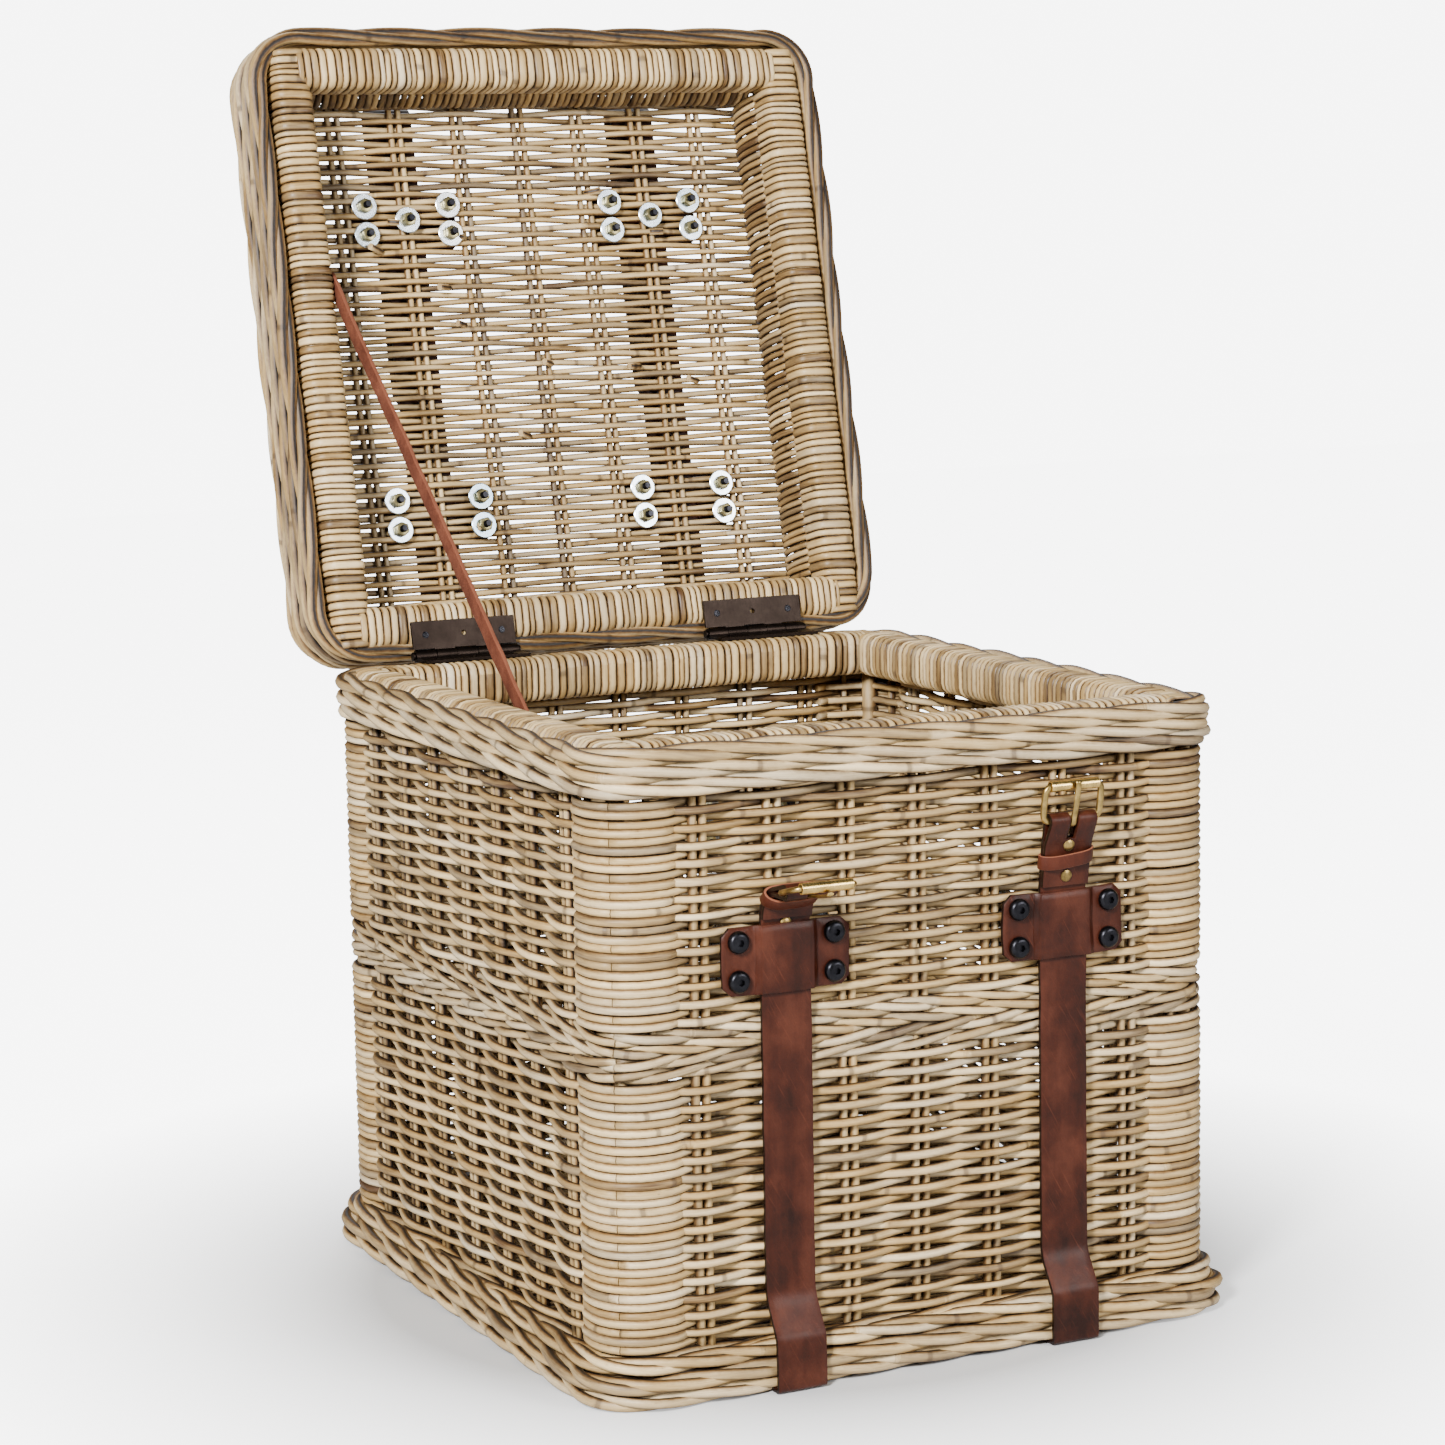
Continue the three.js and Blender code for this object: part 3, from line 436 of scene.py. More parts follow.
def wall_keys(loop, parity, reach):
    """Where a row passes in and out round the trunk: pairs of stakes along each wall, and the posts."""
    keys = []
    for k in range(4):
        middle = loop.side_middle(k)
        half = loop.straights[k] / 2
        pairs = stake_places(half + loop.radius + WALL_THICK / 2 - reach)
        sign = 1 if parity else -1
        post = -sign
        start = loop.starts[k]
        clear = loop.quarter / 2 + 5 * MM
        keys += [(start, post), (start + clear, post)]
        keys += [(middle + pair, sign * (-1) ** i) for i, pair in enumerate(pairs)]
        keys += [(loop.starts[k + 1] - clear, post)]
    keys.append((loop.length, keys[0][1]))
    return keys


POST_REACH = WALL_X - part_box("front_wall")[1].x
WALE_LOW, WALE_HIGH = 0.228, 0.262
WEAVER = 3.35 * MM
STAKE = 3.2 * MM
SWING = WALL_THICK / 2 - WEAVER - 0.2 * MM  # how far a weaver passes in and out
POINT_GAP = 6.5 * MM  # between the points of a weaver's path
POST_RADIUS = 37 * MM
WALL_NAMES = ("back", "left", "front", "right")


def wall_loop():
    half = WALL_THICK / 2
    return Loop(WALL_X - half, -WALL_Y + half, WALL_Y - half, POST_RADIUS - half)


def wall_rows(pitch):
    """The number and height of each row of the walls, apart from those that the wale takes."""
    rows = int((WALL_TOP - WALL_BOTTOM) / pitch)
    lowest = WALL_BOTTOM + (WALL_TOP - WALL_BOTTOM - (rows - 1) * pitch) / 2
    heights = [(row, lowest + row * pitch) for row in range(rows)]
    return [(row, z) for row, z in heights if not WALE_LOW - 2 * MM < z < WALE_HIGH + 2 * MM]


def weave_walls(sizes, material):
    """The four woven walls, cut at the corners' middles, with their stakes and the mid-height wale."""
    loop = wall_loop()
    canes = [Canework() for _ in WALL_NAMES]
    keys = [wall_keys(loop, parity, POST_REACH) for parity in (0, 1)]
    dice = random.Random(11)
    for row, z in wall_rows(sizes.row_pitch):
        waves = [
            (dice.randint(2, 9), dice.uniform(0, math.tau), dice.uniform(0.1, 0.32) * MM) for _ in range(3)
        ]
        ends = sorted(dice.uniform(0, loop.length) for _ in range(5))
        grey = 0.3 + (0.25 if abs(z - (WALE_LOW + WALE_HIGH) / 2) < 40 * MM else 0)
        tones = np.array([pick_tone(dice, grey, 0.52, 0.42) for _ in range(6)])
        radius = WEAVER * dice.uniform(0.9, 1.08)
        offset = dice.uniform(0, 9)
        for k, cane in enumerate(canes):
            first, last = loop.starts[k], loop.starts[k + 1]
            s = np.linspace(first, last, int((last - first) / POINT_GAP))
            place, out = loop.at(np.minimum(s, last - 1e-7))
            depth = eased(s, keys[row % 2]) * SWING
            height = z + sum(a * np.sin(f * s / loop.length * math.tau + p) for f, p, a in waves)
            thick = radius * (1 + 0.05 * np.sin(s * 31 + offset))
            path = place + out * depth[:, None]
            path[:, 2] = height
            cane.tube(path, out, thick, tones[np.searchsorted(ends, s)], start=offset + first)
    wale_band(loop, canes, dice)
    for k, cane in enumerate(canes):
        half = loop.straights[k] / 2
        for pair in stake_places(half + loop.radius + WALL_THICK / 2 - POST_REACH):
            for beside in (-4.1 * MM, 4.1 * MM):
                spot, out = loop.at([loop.side_middle(k) + pair + beside + dice.uniform(-0.6, 0.6) * MM])
                stake(cane, spot[0], out[0], WALL_BOTTOM - 4 * MM, WALL_TOP + 2 * MM, dice)
        cane.build(f"{WALL_NAMES[k]}_weave", material, "trunk", "woven_rattan", f"{WALL_NAMES[k]}_wall")


def stake(cane, spot, out, low, high, dice, radius=STAKE):
    z = np.linspace(low, high, 14)
    path = np.repeat(spot[None, :], len(z), 0)
    path[:, 2] = z
    lean = np.array([out[1], -out[0], 0.0])
    path += lean * (0.5 * MM * np.sin(z * dice.uniform(10, 25) + dice.uniform(0, 6)))[:, None]
    thick = radius * dice.uniform(0.9, 1.05)
    cane.tube(path, out, thick, pick_tone(dice, 0.3, 0.4), 7, start=dice.uniform(0, 9))


def wale_band(loop, canes, dice):
    """Four rows of slanting twist at mid height, two leaning each way."""
    rows = 4
    pitch = (WALE_HIGH - WALE_LOW) / rows
    for row in range(rows):
        z = WALE_LOW + (row + 0.5) * pitch
        hand = 1 if row < 2 else -1
        for k, cane in enumerate(canes):
            span = (loop.starts[k], loop.starts[k + 1] - 1e-6)
            rope(cane, loop, z, dice, 3, 110 * MM, 5.6 * MM, 2.5 * MM, 3.3 * MM, row * 1.1, hand, 1.0,
                 0.72, 0.5, 6 * MM, span=span)


def wrap_corners(sizes, material):
    """The short wraps that fill each post between the long rows, and the pole inside."""
    loop = wall_loop()
    dice = random.Random(23)
    names = ("back_right", "back_left", "front_left", "front_right")
    for k, name in enumerate(names):
        cane = Canework()
        for row, z in wall_rows(sizes.row_pitch):
            if row % 2 == 0:
                continue
            reach = loop.quarter / 2 + dice.uniform(13, 17) * MM
            dive = reach + 15 * MM
            t = np.linspace(-dive, dive, 34)
            keys = ((-dive, -0.9), (-reach + 6 * MM, 1), (reach - 6 * MM, 1), (dive, -0.9))
            place, out = loop.at(loop.starts[k] + t)
            path = place + out * (eased(t, keys) * SWING)[:, None]
            path[:, 2] = z + dice.uniform(-0.3, 0.3) * MM
            tone = pick_tone(dice, 0.35, 0.5, 0.42)
            cane.tube(path, out, WEAVER * dice.uniform(0.98, 1.1), tone, 7, start=dice.uniform(0, 9))
        for along, radius, sunk in ((0, 6.5 * MM, 4.5 * MM), (-24 * MM, STAKE, 0), (24 * MM, STAKE, 0)):
            spot, out = loop.at([loop.starts[k] + along + loop.length])
            stake(cane, spot[0] - out[0] * sunk, out[0], WALL_BOTTOM, WALL_TOP, dice, radius)
        cane.build(f"{name}_corner_wraps", material, "trunk", "woven_rattan", f"{name}_corner_post")


def twist_borders(material):
    """Three rows of heavy twist under the rim, and three round the foot."""
    low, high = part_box("top_border")
    dice = random.Random(31)
    cane = Canework()
    thick, out = 4.2 * MM, 5.8 * MM
    rows = 3
    pitch = (high.z - low.z) / rows
    inset = thick + out
    loop = Loop(high.x - inset, low.y + inset, high.y - inset + 3 * MM, 36 * MM)
    for row in range(rows):
        z = low.z + (row + 0.5) * pitch + 1 * MM
        rope(cane, loop, z, dice, 3, 170 * MM, out, 3.3 * MM, thick, 0.4 * row, -1)
    cane.build("top_border_ropes", material, "trunk", "rope_rattan", "top_border")

    low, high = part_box("bottom_border")
    cane = Canework()
    for row, step_in in enumerate((1.0, 0.0, 5.0)):
        inset = thick + out + step_in * MM
        loop = Loop(high.x - inset, low.y + inset, high.y - inset, 42 * MM)
        z = thick + 2.8 * MM + row * 11.2 * MM
        rope(cane, loop, z, dice, 3, 150 * MM, out, 2.6 * MM, thick, 0.7 * row, -1)
    inner = Loop(high.x - 22 * MM, low.y + 22 * MM, high.y - 22 * MM, 32 * MM)
    for z in (8 * MM, 20 * MM, 31 * MM):
        rope(cane, inner, z, dice, 2, 150 * MM, 3.5 * MM, 2 * MM, 5 * MM, z * 90, 1, 1.0)
    cane.build("bottom_border_ropes", material, "trunk", "rope_rattan", "bottom_border")


def flat_weave(cane, x_half, y0, y1, z, thick, pitch, pairs, dice, weaver, stake_radius):
    """A flat panel of rows along X over pairs of stakes along Y."""
    swing = thick / 2 - weaver
    gap = pairs[1] - pairs[0]
    count = int((y1 - y0) / pitch)
    x = np.linspace(-x_half, x_half, int(2 * x_half / POINT_GAP))
    for row in range(count):
        y = y0 + (row + 0.5) * (y1 - y0) / count
        phase = math.pi * ((x - pairs[0]) / gap + row % 2)
        waves = [(dice.uniform(8, 30), dice.uniform(0, 6), dice.uniform(0.1, 0.35) * MM) for _ in range(3)]
        sway = sum(a * np.sin(f * x + p) for f, p, a in waves)
        path = np.stack([x, y + sway, z + swing * np.cos(phase)], 1)
        tones = spliced(x, dice, 0.32, 0.42, 2 * x_half, dice.choice((1, 2, 3)))
        radius = weaver * dice.uniform(0.88, 1.08) * (1 + 0.05 * np.sin(x * dice.uniform(20, 40)))
        cane.tube(path, (0, 0, 1), radius, tones, 7, start=dice.uniform(0, 9))
    for pair in pairs:
        for beside in (-3.9 * MM, 3.9 * MM):
            y = np.linspace(y0 - 2 * MM, y1 + 2 * MM, 16)
            lean = 0.7 * MM * np.sin(y * dice.uniform(8, 20) + dice.uniform(0, 6))
            path = np.stack([pair + beside + lean, y, np.full_like(y, z)], 1)
            cane.tube(path, (0, 0, 1), stake_radius, pick_tone(dice, 0.45, 0.4), 7, start=dice.uniform(0, 9))


def weave_floor(material):
    """The floor's panel, whose strands run on into the walls."""
    low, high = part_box("floor_panel")
    dice = random.Random(41)
    cane = Canework()
    inset = -5 * MM
    pairs = np.linspace(low.x + 40 * MM, high.x - 40 * MM, 7)
    middle, thick = (low.z + high.z) / 2 + 2 * MM, high.z - low.z - 4 * MM
    flat_weave(cane, high.x - inset, low.y + inset, high.y - inset, middle, thick, 5.2 * MM, pairs, dice,
               2.65 * MM, 1.8 * MM)
    cane.build("floor_weave", material, "trunk", "woven_rattan", "floor_panel")


def weave_lid(sizes, material):
    """The lid's panel, with a few cut strand ends left standing on its inner face."""
    dice = random.Random(53)
    cane = Canework()
    x_half = lid_rim_high.x - 6 * MM
    y0, y1 = lid_rim_low.y + 6 * MM, lid_rim_high.y - 6 * MM
    middle, thick = (panel_low.z + panel_high.z) / 2, panel_high.z - panel_low.z
    pairs = np.linspace(-165 * MM, 165 * MM, 7)
    flat_weave(cane, x_half, y0, y1, middle, thick, sizes.row_pitch, pairs, dice, 2.75 * MM, 2.7 * MM)
    for _ in range(12):
        spot = np.array([dice.uniform(-0.14, 0.15), dice.uniform(y0 + 0.09, y1 - 0.09), panel_low.z + 3 * MM])
        sideways = dice.choice((-1, 1)) * dice.uniform(0.7, 1)
        run = np.array([sideways, dice.uniform(-0.2, 0.2), -dice.uniform(0.35, 0.7)])
        path = spot + np.linspace(0, 1, 4)[:, None] * run * dice.uniform(9, 15) * MM
        cane.tube(path, (0, 1, 0), 2.8 * MM, (0.75, 0.2, dice.random()), 8, start=dice.uniform(0, 9))
    cane.build("lid_panel_weave", material, "lid", "woven_rattan", "lid_panel", matrix=LID)


def twist_lid_sides(material):
    """Rows of heavy twist round the lid, the upper ones stepping in over its rounded edge."""
    dice = random.Random(61)
    cane = Canework()
    thick, out = 4.2 * MM, 4.4 * MM
    low, high = skirt_low, skirt_high
    for row in range(7):
        z = low.z + thick + 2.5 * MM + row * 11.3 * MM
        lean = max(z - (high.z - 16 * MM), 0)
        inset = thick + out + lean * 0.75
        loop = Loop(high.x - inset, low.y + inset, high.y - inset + 2 * MM, 38 * MM - lean)
        rope(cane, loop, min(z, high.z - thick - 0.5 * MM), dice, 3, 215 * MM, out, 3.5 * MM, thick,
             0.9 * row, -1, inner=0.6, grey=0.42, light=0.42)
    cane.build("lid_side_ropes", material, "lid", "rope_rattan", "lid_skirt", matrix=LID)


def wrap_lid_inside(material):
    """Close-set leaning strands on the lid's inner sides, between its rim and its panel."""
    dice = random.Random(67)
    cane = Canework()
    x = lid_rim_high.x - RAIL_WIDTH + 4 * MM
    y0, y1 = lid_rim_low.y + RAIL_WIDTH - 4 * MM, lid_rim_high.y - RAIL_WIDTH + 4 * MM
    loop = Loop(x, y0, y1, 3 * MM)
    z0, z1 = lid_rim_high.z - 6 * MM, panel_low.z + 5 * MM
    t = np.linspace(0, 1, 8)
    for k in range(4):
        s = loop.starts[k] + 6 * MM
        while s < loop.starts[k + 1] - 6 * MM:
            lean = (9 if k % 2 == 0 else 3) * MM + dice.uniform(-1, 1) * MM
            place, out = loop.at(np.clip(s + lean * t, loop.starts[k], loop.starts[k + 1] - 1e-6))
            path = place - out * (4.5 * MM * np.sin(math.pi * t * 0.85))[:, None]
            path[:, 2] = z0 + (z1 - z0) * t
            radius = dice.uniform(2.7, 3.1) * MM
            cane.tube(path, out, radius, pick_tone(dice, 0.3, 0.22), 7, start=dice.uniform(0, 9))
            s += dice.uniform(5.9, 6.5) * MM
    cane.build("lid_inner_wraps", material, "lid", "woven_rattan", matrix=LID)


# ---------------------------------------------------------------- wrapped rims
def wrap_section(half_wide, half_high, corner, points=4):
    """The outline that a wrap follows round a rail, as offsets across and up, and their outward turns."""
    spots, outs = [], []
    for quarter in range(4):
        sign_a = (1, -1, -1, 1)[quarter]
        sign_b = (1, 1, -1, -1)[quarter]
        for i in range(points):
            turn = math.pi / 2 * (quarter + i / (points - 1))
            a, b = math.cos(turn), math.sin(turn)
            wide, high = sign_a * (half_wide - corner), sign_b * (half_high - corner)
            spots.append((wide + corner * a, high + corner * b))
            outs.append((a, b))
    return np.array(spots), np.array(outs)


def flat_wrap(cane, centre, axes, half_wide, half_high, width, slant, tone, start):
    """One flat wrap round a rail: a closed band with a rounded face. axes are along, across and up."""
    along, across, up = axes
    spots, outs = wrap_section(half_wide, half_high, 9 * MM)
    profile = ((-0.5, -1.7), (-0.47, -0.4), (-0.28, 0.4), (0.0, 0.7), (0.28, 0.4), (0.47, -0.4), (0.5, -1.7))
    count, sides = len(spots), len(profile)
    verts = np.zeros((count, sides, 3))
    for j, (offset, lift) in enumerate(profile):
        swell = spots + outs * (lift * MM)
        base = centre + swell[:, :1] * across + swell[:, 1:] * up
        verts[:, j] = base + along * (offset * width + slant * spots[:, :1] / half_wide)
    i, j = np.meshgrid(np.arange(count), np.arange(sides), indexing="ij")
    i, j = i.ravel(), j.ravel()
    after, beside = (i + 1) % count, (j + 1) % sides
    quads = np.stack([i * sides + j, after * sides + j, after * sides + beside, i * sides + beside], 1)
    step = np.linalg.norm(np.diff(spots, axis=0, append=spots[:1]), axis=1)
    run = start + np.concatenate([[0.0], np.cumsum(step)])
    side = np.array([offset for offset, _ in profile] + [0.9]) * width
    corners = ((j, i), (j, i + 1), (j + 1, i + 1), (j + 1, i))
    uv = np.stack([np.stack([side[across_at], run[along_at]], 1) for across_at, along_at in corners], 1)
    # alpha falls to 0 at the wrap's sides, where the finish paints shade in the crevices between wraps
    clear = np.tile([0, 0.45, 0.85, 1, 0.85, 0.45, 0], count)[:, None]
    tones = np.concatenate([np.tile(np.array(tone, float), (count * sides, 1)), clear], 1)
    cane.add(verts.reshape(-1, 3), quads, uv, tones)


def wrap_rail(cane, start, end, dice, sunk_ends=0.0):
    """Flat wraps from start to end round a rail's middle line, over a plain core.

    Within sunk_ends of either end the wraps lie lower, under those of the rail that crosses them.
    """
    start, end, up = np.array(start), np.array(end), np.array((0, 0, 1.0))
    length = np.linalg.norm(end - start)
    along = (end - start) / length
    axes = along, np.cross(along, up), up
    half_wide, half_high = RAIL_WIDTH / 2 - 0.8 * MM, RAIL_HEIGHT / 2 - 0.8 * MM
    sink = 2.2 * MM
    core = length - 2 * sink
    flat_wrap(cane, (start + end) / 2, axes, half_wide - sink, half_high - sink, core, 0, (0.1, 0.3, 0.5), 0)
    s = 0.5 * MM
    drift = 0.0
    while s < length - 3 * MM:
        width = min(dice.choice((4.6, 5.3, 6.0, 6.7, 7.6)) * MM, length - s - 0.4 * MM)
        drift = 0.6 * drift + dice.uniform(-0.5, 0.5) * MM
        lower = 0.9 * MM if min(s, length - s - width) < sunk_ends else dice.uniform(-0.15, 0.15) * MM
        narrower = lower + max(0, 6 * MM - min(s, length - s - width)) * 0.3
        centre = start + along * (s + width / 2)
        tone = pick_tone(dice, 0.22, 0.52, 0.5)
        flat_wrap(cane, centre, axes, half_wide - narrower, half_high - lower, width - 0.45 * MM, drift, tone,
                  dice.uniform(0, 9))
        s += width


def wrap_rims(material):
    """The wrapped rim of the trunk, and the lid's. At each corner the wraps of the two rails are stepped."""
    for body, low, high, matrix, name, node, seed in (
        ("trunk", rim_low, rim_high, None, "rim_wraps", "rim_frame", 71),
        ("lid", lid_rim_low, lid_rim_high, LID, "lid_rim_wraps", "lid_rim_frame", 73),
    ):
        dice = random.Random(seed)
        cane = Canework()
        inset = RAIL_WIDTH / 2
        over = 13 * MM
        z = (low.z + high.z) / 2
        x, y0, y1 = high.x - inset, low.y + inset, high.y - inset
        end = x - inset + over
        for sign in (-1, 1):
            front, back = y0 - inset + 1 * MM, y1 + inset - 1 * MM
            wrap_rail(cane, (sign * x, front, z), (sign * x, back, z), dice, RAIL_WIDTH)
        for y in (y0, y1):
            wrap_rail(cane, (-end, y, z), (end, y, z), dice)
        cane.build(name, material, body, "wrapped_rattan", node, matrix=matrix)


# ---------------------------------------------------------------- editing helpers
def select_only(piece):
    bpy.ops.object.select_all(action="DESELECT")
    piece.select_set(True)
    bpy.context.view_layer.objects.active = piece


def begin_edit(piece, kind="FACE"):
    """Puts one piece in edit mode with everything selected."""
    select_only(piece)
    bpy.ops.object.mode_set(mode="EDIT")
    bpy.ops.mesh.select_mode(type=kind)
    bpy.ops.mesh.select_all(action="SELECT")


def end_edit():
    bpy.ops.object.mode_set(mode="OBJECT")


def apply_modifier(piece, name, kind, **settings):
    bpy.context.view_layer.objects.active = piece
    modifier = piece.modifiers.new(name, kind)
    for key, value in settings.items():
        setattr(modifier, key, value)
    bpy.ops.object.modifier_apply(modifier=modifier.name)


def smooth_by_angle(piece, degrees):
    select_only(piece)
    bpy.ops.object.shade_smooth_by_angle(angle=math.radians(degrees))


def new_piece(name, verts, edges=(), faces=()):
    mesh = bpy.data.meshes.new(name)
    mesh.from_pydata([tuple(v) for v in verts], edges, faces)
    return add_object(name, mesh)


def turned(name, profile, steps=24):
    """A turned piece: the profile, as (radius, height) points from axis to axis, spun about Z."""
    verts = [(radius, 0, height) for radius, height in profile]
    piece = new_piece(name, verts, [(i, i + 1) for i in range(len(verts) - 1)])
    begin_edit(piece, "VERT")
    bpy.ops.mesh.spin(steps=steps, angle=math.tau, center=(0, 0, 0), axis=(0, 0, 1))
    bpy.ops.mesh.select_all(action="SELECT")
    bpy.ops.mesh.remove_doubles(threshold=0.01 * MM)
    bpy.ops.mesh.normals_make_consistent(inside=False)
    end_edit()
    return piece


def finish_piece(piece, name, material, body, slot, *nodes):
    piece.name = piece.data.name = name
    if material is not None:
        piece.data.materials.clear()
        piece.data.materials.append(material)
    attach(piece, body)
    if nodes:
        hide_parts(*nodes)
    return piece


# ---------------------------------------------------------------- leather
def softened(node, cuts, edge, sway, matrix=None, relax=None):
    """A copy of a flat piece with its edges rounded and its faces gently uneven.

    cuts are (start, end, gap, axis) rows of section planes that give it enough faces, and the
    attribute "edge" marks the cut sides of the leather. matrix takes the piece's own frame to the trunk's,
    and relax is the axis along which the sheet's folds are eased.
    """
    mesh = frame["nodes"][node].data.copy()
    piece = add_object(node + "_soft", mesh)
    if matrix is not None:
        mesh.transform(matrix.inverted())
    begin_edit(piece)
    bpy.ops.mesh.remove_doubles(threshold=0.02 * MM)
    bpy.ops.mesh.dissolve_limited(angle_limit=math.radians(0.6))
    for low, high, gap, normal in cuts:
        for i in range(1, max(int((high - low) / gap), 1)):
            bpy.ops.mesh.select_all(action="SELECT")
            bpy.ops.mesh.bisect(plane_co=Vector(normal) * (low + i * gap), plane_no=normal)
    end_edit()
    apply_modifier(piece, "edge", "BEVEL", width=edge, segments=2, limit_method="ANGLE",
                   angle_limit=math.radians(40), harden_normals=False)
    mark_edges(mesh)
    if relax is not None:
        apply_modifier(piece, "drape", "SMOOTH", factor=0.5, iterations=10, use_x=False, use_y=relax == "Y",
                       use_z=relax == "Z")
    sway_mesh(mesh, sway)
    if matrix is not None:
        mesh.transform(matrix)
    smooth_by_angle(piece, 50)
    return piece


def mark_edges(mesh):
    """Marks a strap's or plate's cut sides: the faces that look along X from its outer edges."""
    flags = np.zeros(len(mesh.vertices), np.float32)
    low = min(vertex.co.x for vertex in mesh.vertices)
    high = max(vertex.co.x for vertex in mesh.vertices)
    for face in mesh.polygons:
        outermost = min(face.center.x - low, high - face.center.x) < 9 * MM
        if abs(face.normal.x) > 0.6 and outermost:
            flags[list(face.vertices)] = 1
    attribute = mesh.attributes.new("edge", "FLOAT", "POINT")
    attribute.data.foreach_set("value", flags)


SWAY_SEED = 5  # a noise seed of 0 would be taken from the clock


def sway_mesh(mesh, amount, size=28 * MM):
    """Moves every vertex by a smooth noise of its place, so both faces of a sheet move together."""
    noise.seed_set(SWAY_SEED)
    for vertex in mesh.vertices:
        shift = noise.noise_vector(vertex.co / size)
        vertex.co += shift * amount


def strap_cuts(node, gap=7 * MM, matrix=None, axis=2):
    """Section planes across a strap's width and along one axis."""
    low, high = shut_box(node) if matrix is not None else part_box(node)
    normal = tuple(float(i == axis) for i in range(3))
    return ((low.x, high.x, (high.x - low.x) / 6, (1, 0, 0)), (low[axis], high[axis], gap, normal))


def make_belts(leather):
    """The belts up the trunk's front and over the lid."""
    for side, _ in SIDES:
        for node, matrix, axis, body in (
            (f"{side}_trunk_belt", None, 2, "trunk"),
            (f"{side}_lid_belt", LID, 1, "lid"),
        ):
            piece = softened(node, strap_cuts(node, matrix=matrix, axis=axis), 0.5 * MM, 0.45 * MM, matrix)
            finish_piece(piece, node + "_leather", leather, body, "leather", node)


def make_plates(leather):
    """The plates that hold the belts to the walls and the lid, draped over them."""
    for side, _ in SIDES:
        for node, matrix, axis, body in (
            (f"{side}_front_plate", None, 2, "trunk"),
            (f"{side}_back_plate", None, 2, "trunk"),
            (f"{side}_lid_front_plate", LID, 1, "lid"),
            (f"{side}_lid_rear_plate", LID, 1, "lid"),
        ):
            cuts = strap_cuts(node, 6 * MM, matrix, axis)
            low, high = shut_box(node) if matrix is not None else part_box(node)
            across = ((low.x, high.x, 5 * MM, (1, 0, 0)), cuts[1])
            piece = softened(node, across, 0.5 * MM, 1.1 * MM, matrix, "Z" if matrix else "Y")
            finish_piece(piece, node + "_leather", leather, body, "leather", node)


def joint_place(name):
    return Vector(JOINTS[name]["pos_m"])


def buckle_axes(side):
    """A buckle's heel, and the matrix whose X is across, Y is outwards and Z runs from heel to roller."""
    heel, roller = joint_place(f"{side}_buckle_pivot"), joint_place(f"{side}_roller_spin")
    up = (roller - heel).normalized()
    across = Vector((1, 0, 0))
    out = across.cross(up)
    matrix = Matrix((across, out, up)).transposed().to_4x4()
    return Matrix.Translation(heel) @ matrix, (roller - heel).length


def make_keeper_loops(leather):
    """The leather loops that catch the belt's end: an oval band, bulging forwards, its cut sides pale."""
    for side, lean in (("left", 0.02), ("right", 0.09)):
        node = f"{side}_keeper_loop"
        corners = [vertex.co for vertex in frame["nodes"][node].data.vertices]
        centre = sum(corners, Vector()) / len(corners)
        up = loop_direction(corners, centre)
        across = Vector((1, 0, 0))
        out = across.cross(up)
        half_x = max(abs(c.x - centre.x) for c in corners) - 0.9 * MM
        half_y = max(abs((c - centre).dot(out)) for c in corners) - 0.9 * MM
        half_z = max(abs((c - centre).dot(up)) for c in corners)
        steps = 44
        verts, faces = [], []
        section = ((-0.9, -1), (0.9, -1), (0.9, 1), (-0.9, 1))
        for i in range(steps):
            turn = math.tau * i / steps
            x = half_x * math.copysign(abs(math.cos(turn)) ** 0.55, math.cos(turn))
            y = half_y * math.copysign(abs(math.sin(turn)) ** 0.7, math.sin(turn))
            bulge = 3.2 * MM * max(math.sin(turn), 0) ** 2
            facing = Vector((math.cos(turn) / half_x, math.sin(turn) / half_y)).normalized()
            for thick, tall in section:
                along = tall * half_z + lean * x
                wide, deep = x + facing.x * thick * MM, y + bulge + facing.y * thick * MM
                verts.append(centre + across * wide + out * deep + up * along)
        for i in range(steps):
            for j in range(4):
                a, b = i * 4 + j, i * 4 + (j + 1) % 4
                c, d = (i + 1) % steps * 4 + (j + 1) % 4, (i + 1) % steps * 4 + j
                faces.append((a, b, c, d))
        piece = new_piece(node, verts, faces=faces)
        begin_edit(piece)
        bpy.ops.mesh.normals_make_consistent(inside=False)
        end_edit()
        apply_modifier(piece, "edge", "BEVEL", width=0.35 * MM, segments=2, limit_method="ANGLE",
                       angle_limit=math.radians(50))
        flags = np.zeros(len(piece.data.vertices), np.float32)
        for face in piece.data.polygons:
            if abs(face.normal.dot(up)) > 0.8:
                flags[list(face.vertices)] = 1
        piece.data.attributes.new("edge", "FLOAT", "POINT").data.foreach_set("value", flags)
        smooth_by_angle(piece, 50)
        finish_piece(piece, node + "_leather", leather, "trunk", "leather", node)


def loop_direction(corners, centre):
    """The way a keeper loop's hole runs, up along its belt: its shortest even axis in the YZ plane."""
    best = None
    for step in range(180):
        turn = math.radians(step)
        way = Vector((0, -math.sin(turn), math.cos(turn)))
        side = Vector((0, math.cos(turn), math.sin(turn)))
        spread = max((c - centre).dot(way) for c in corners) * max((c - centre).dot(side) for c in corners)
        if best is None or spread < best[0] - 1e-12:
            best = (spread, way, side)
    _, way, side = best
    return way if way.z > 0 else -way


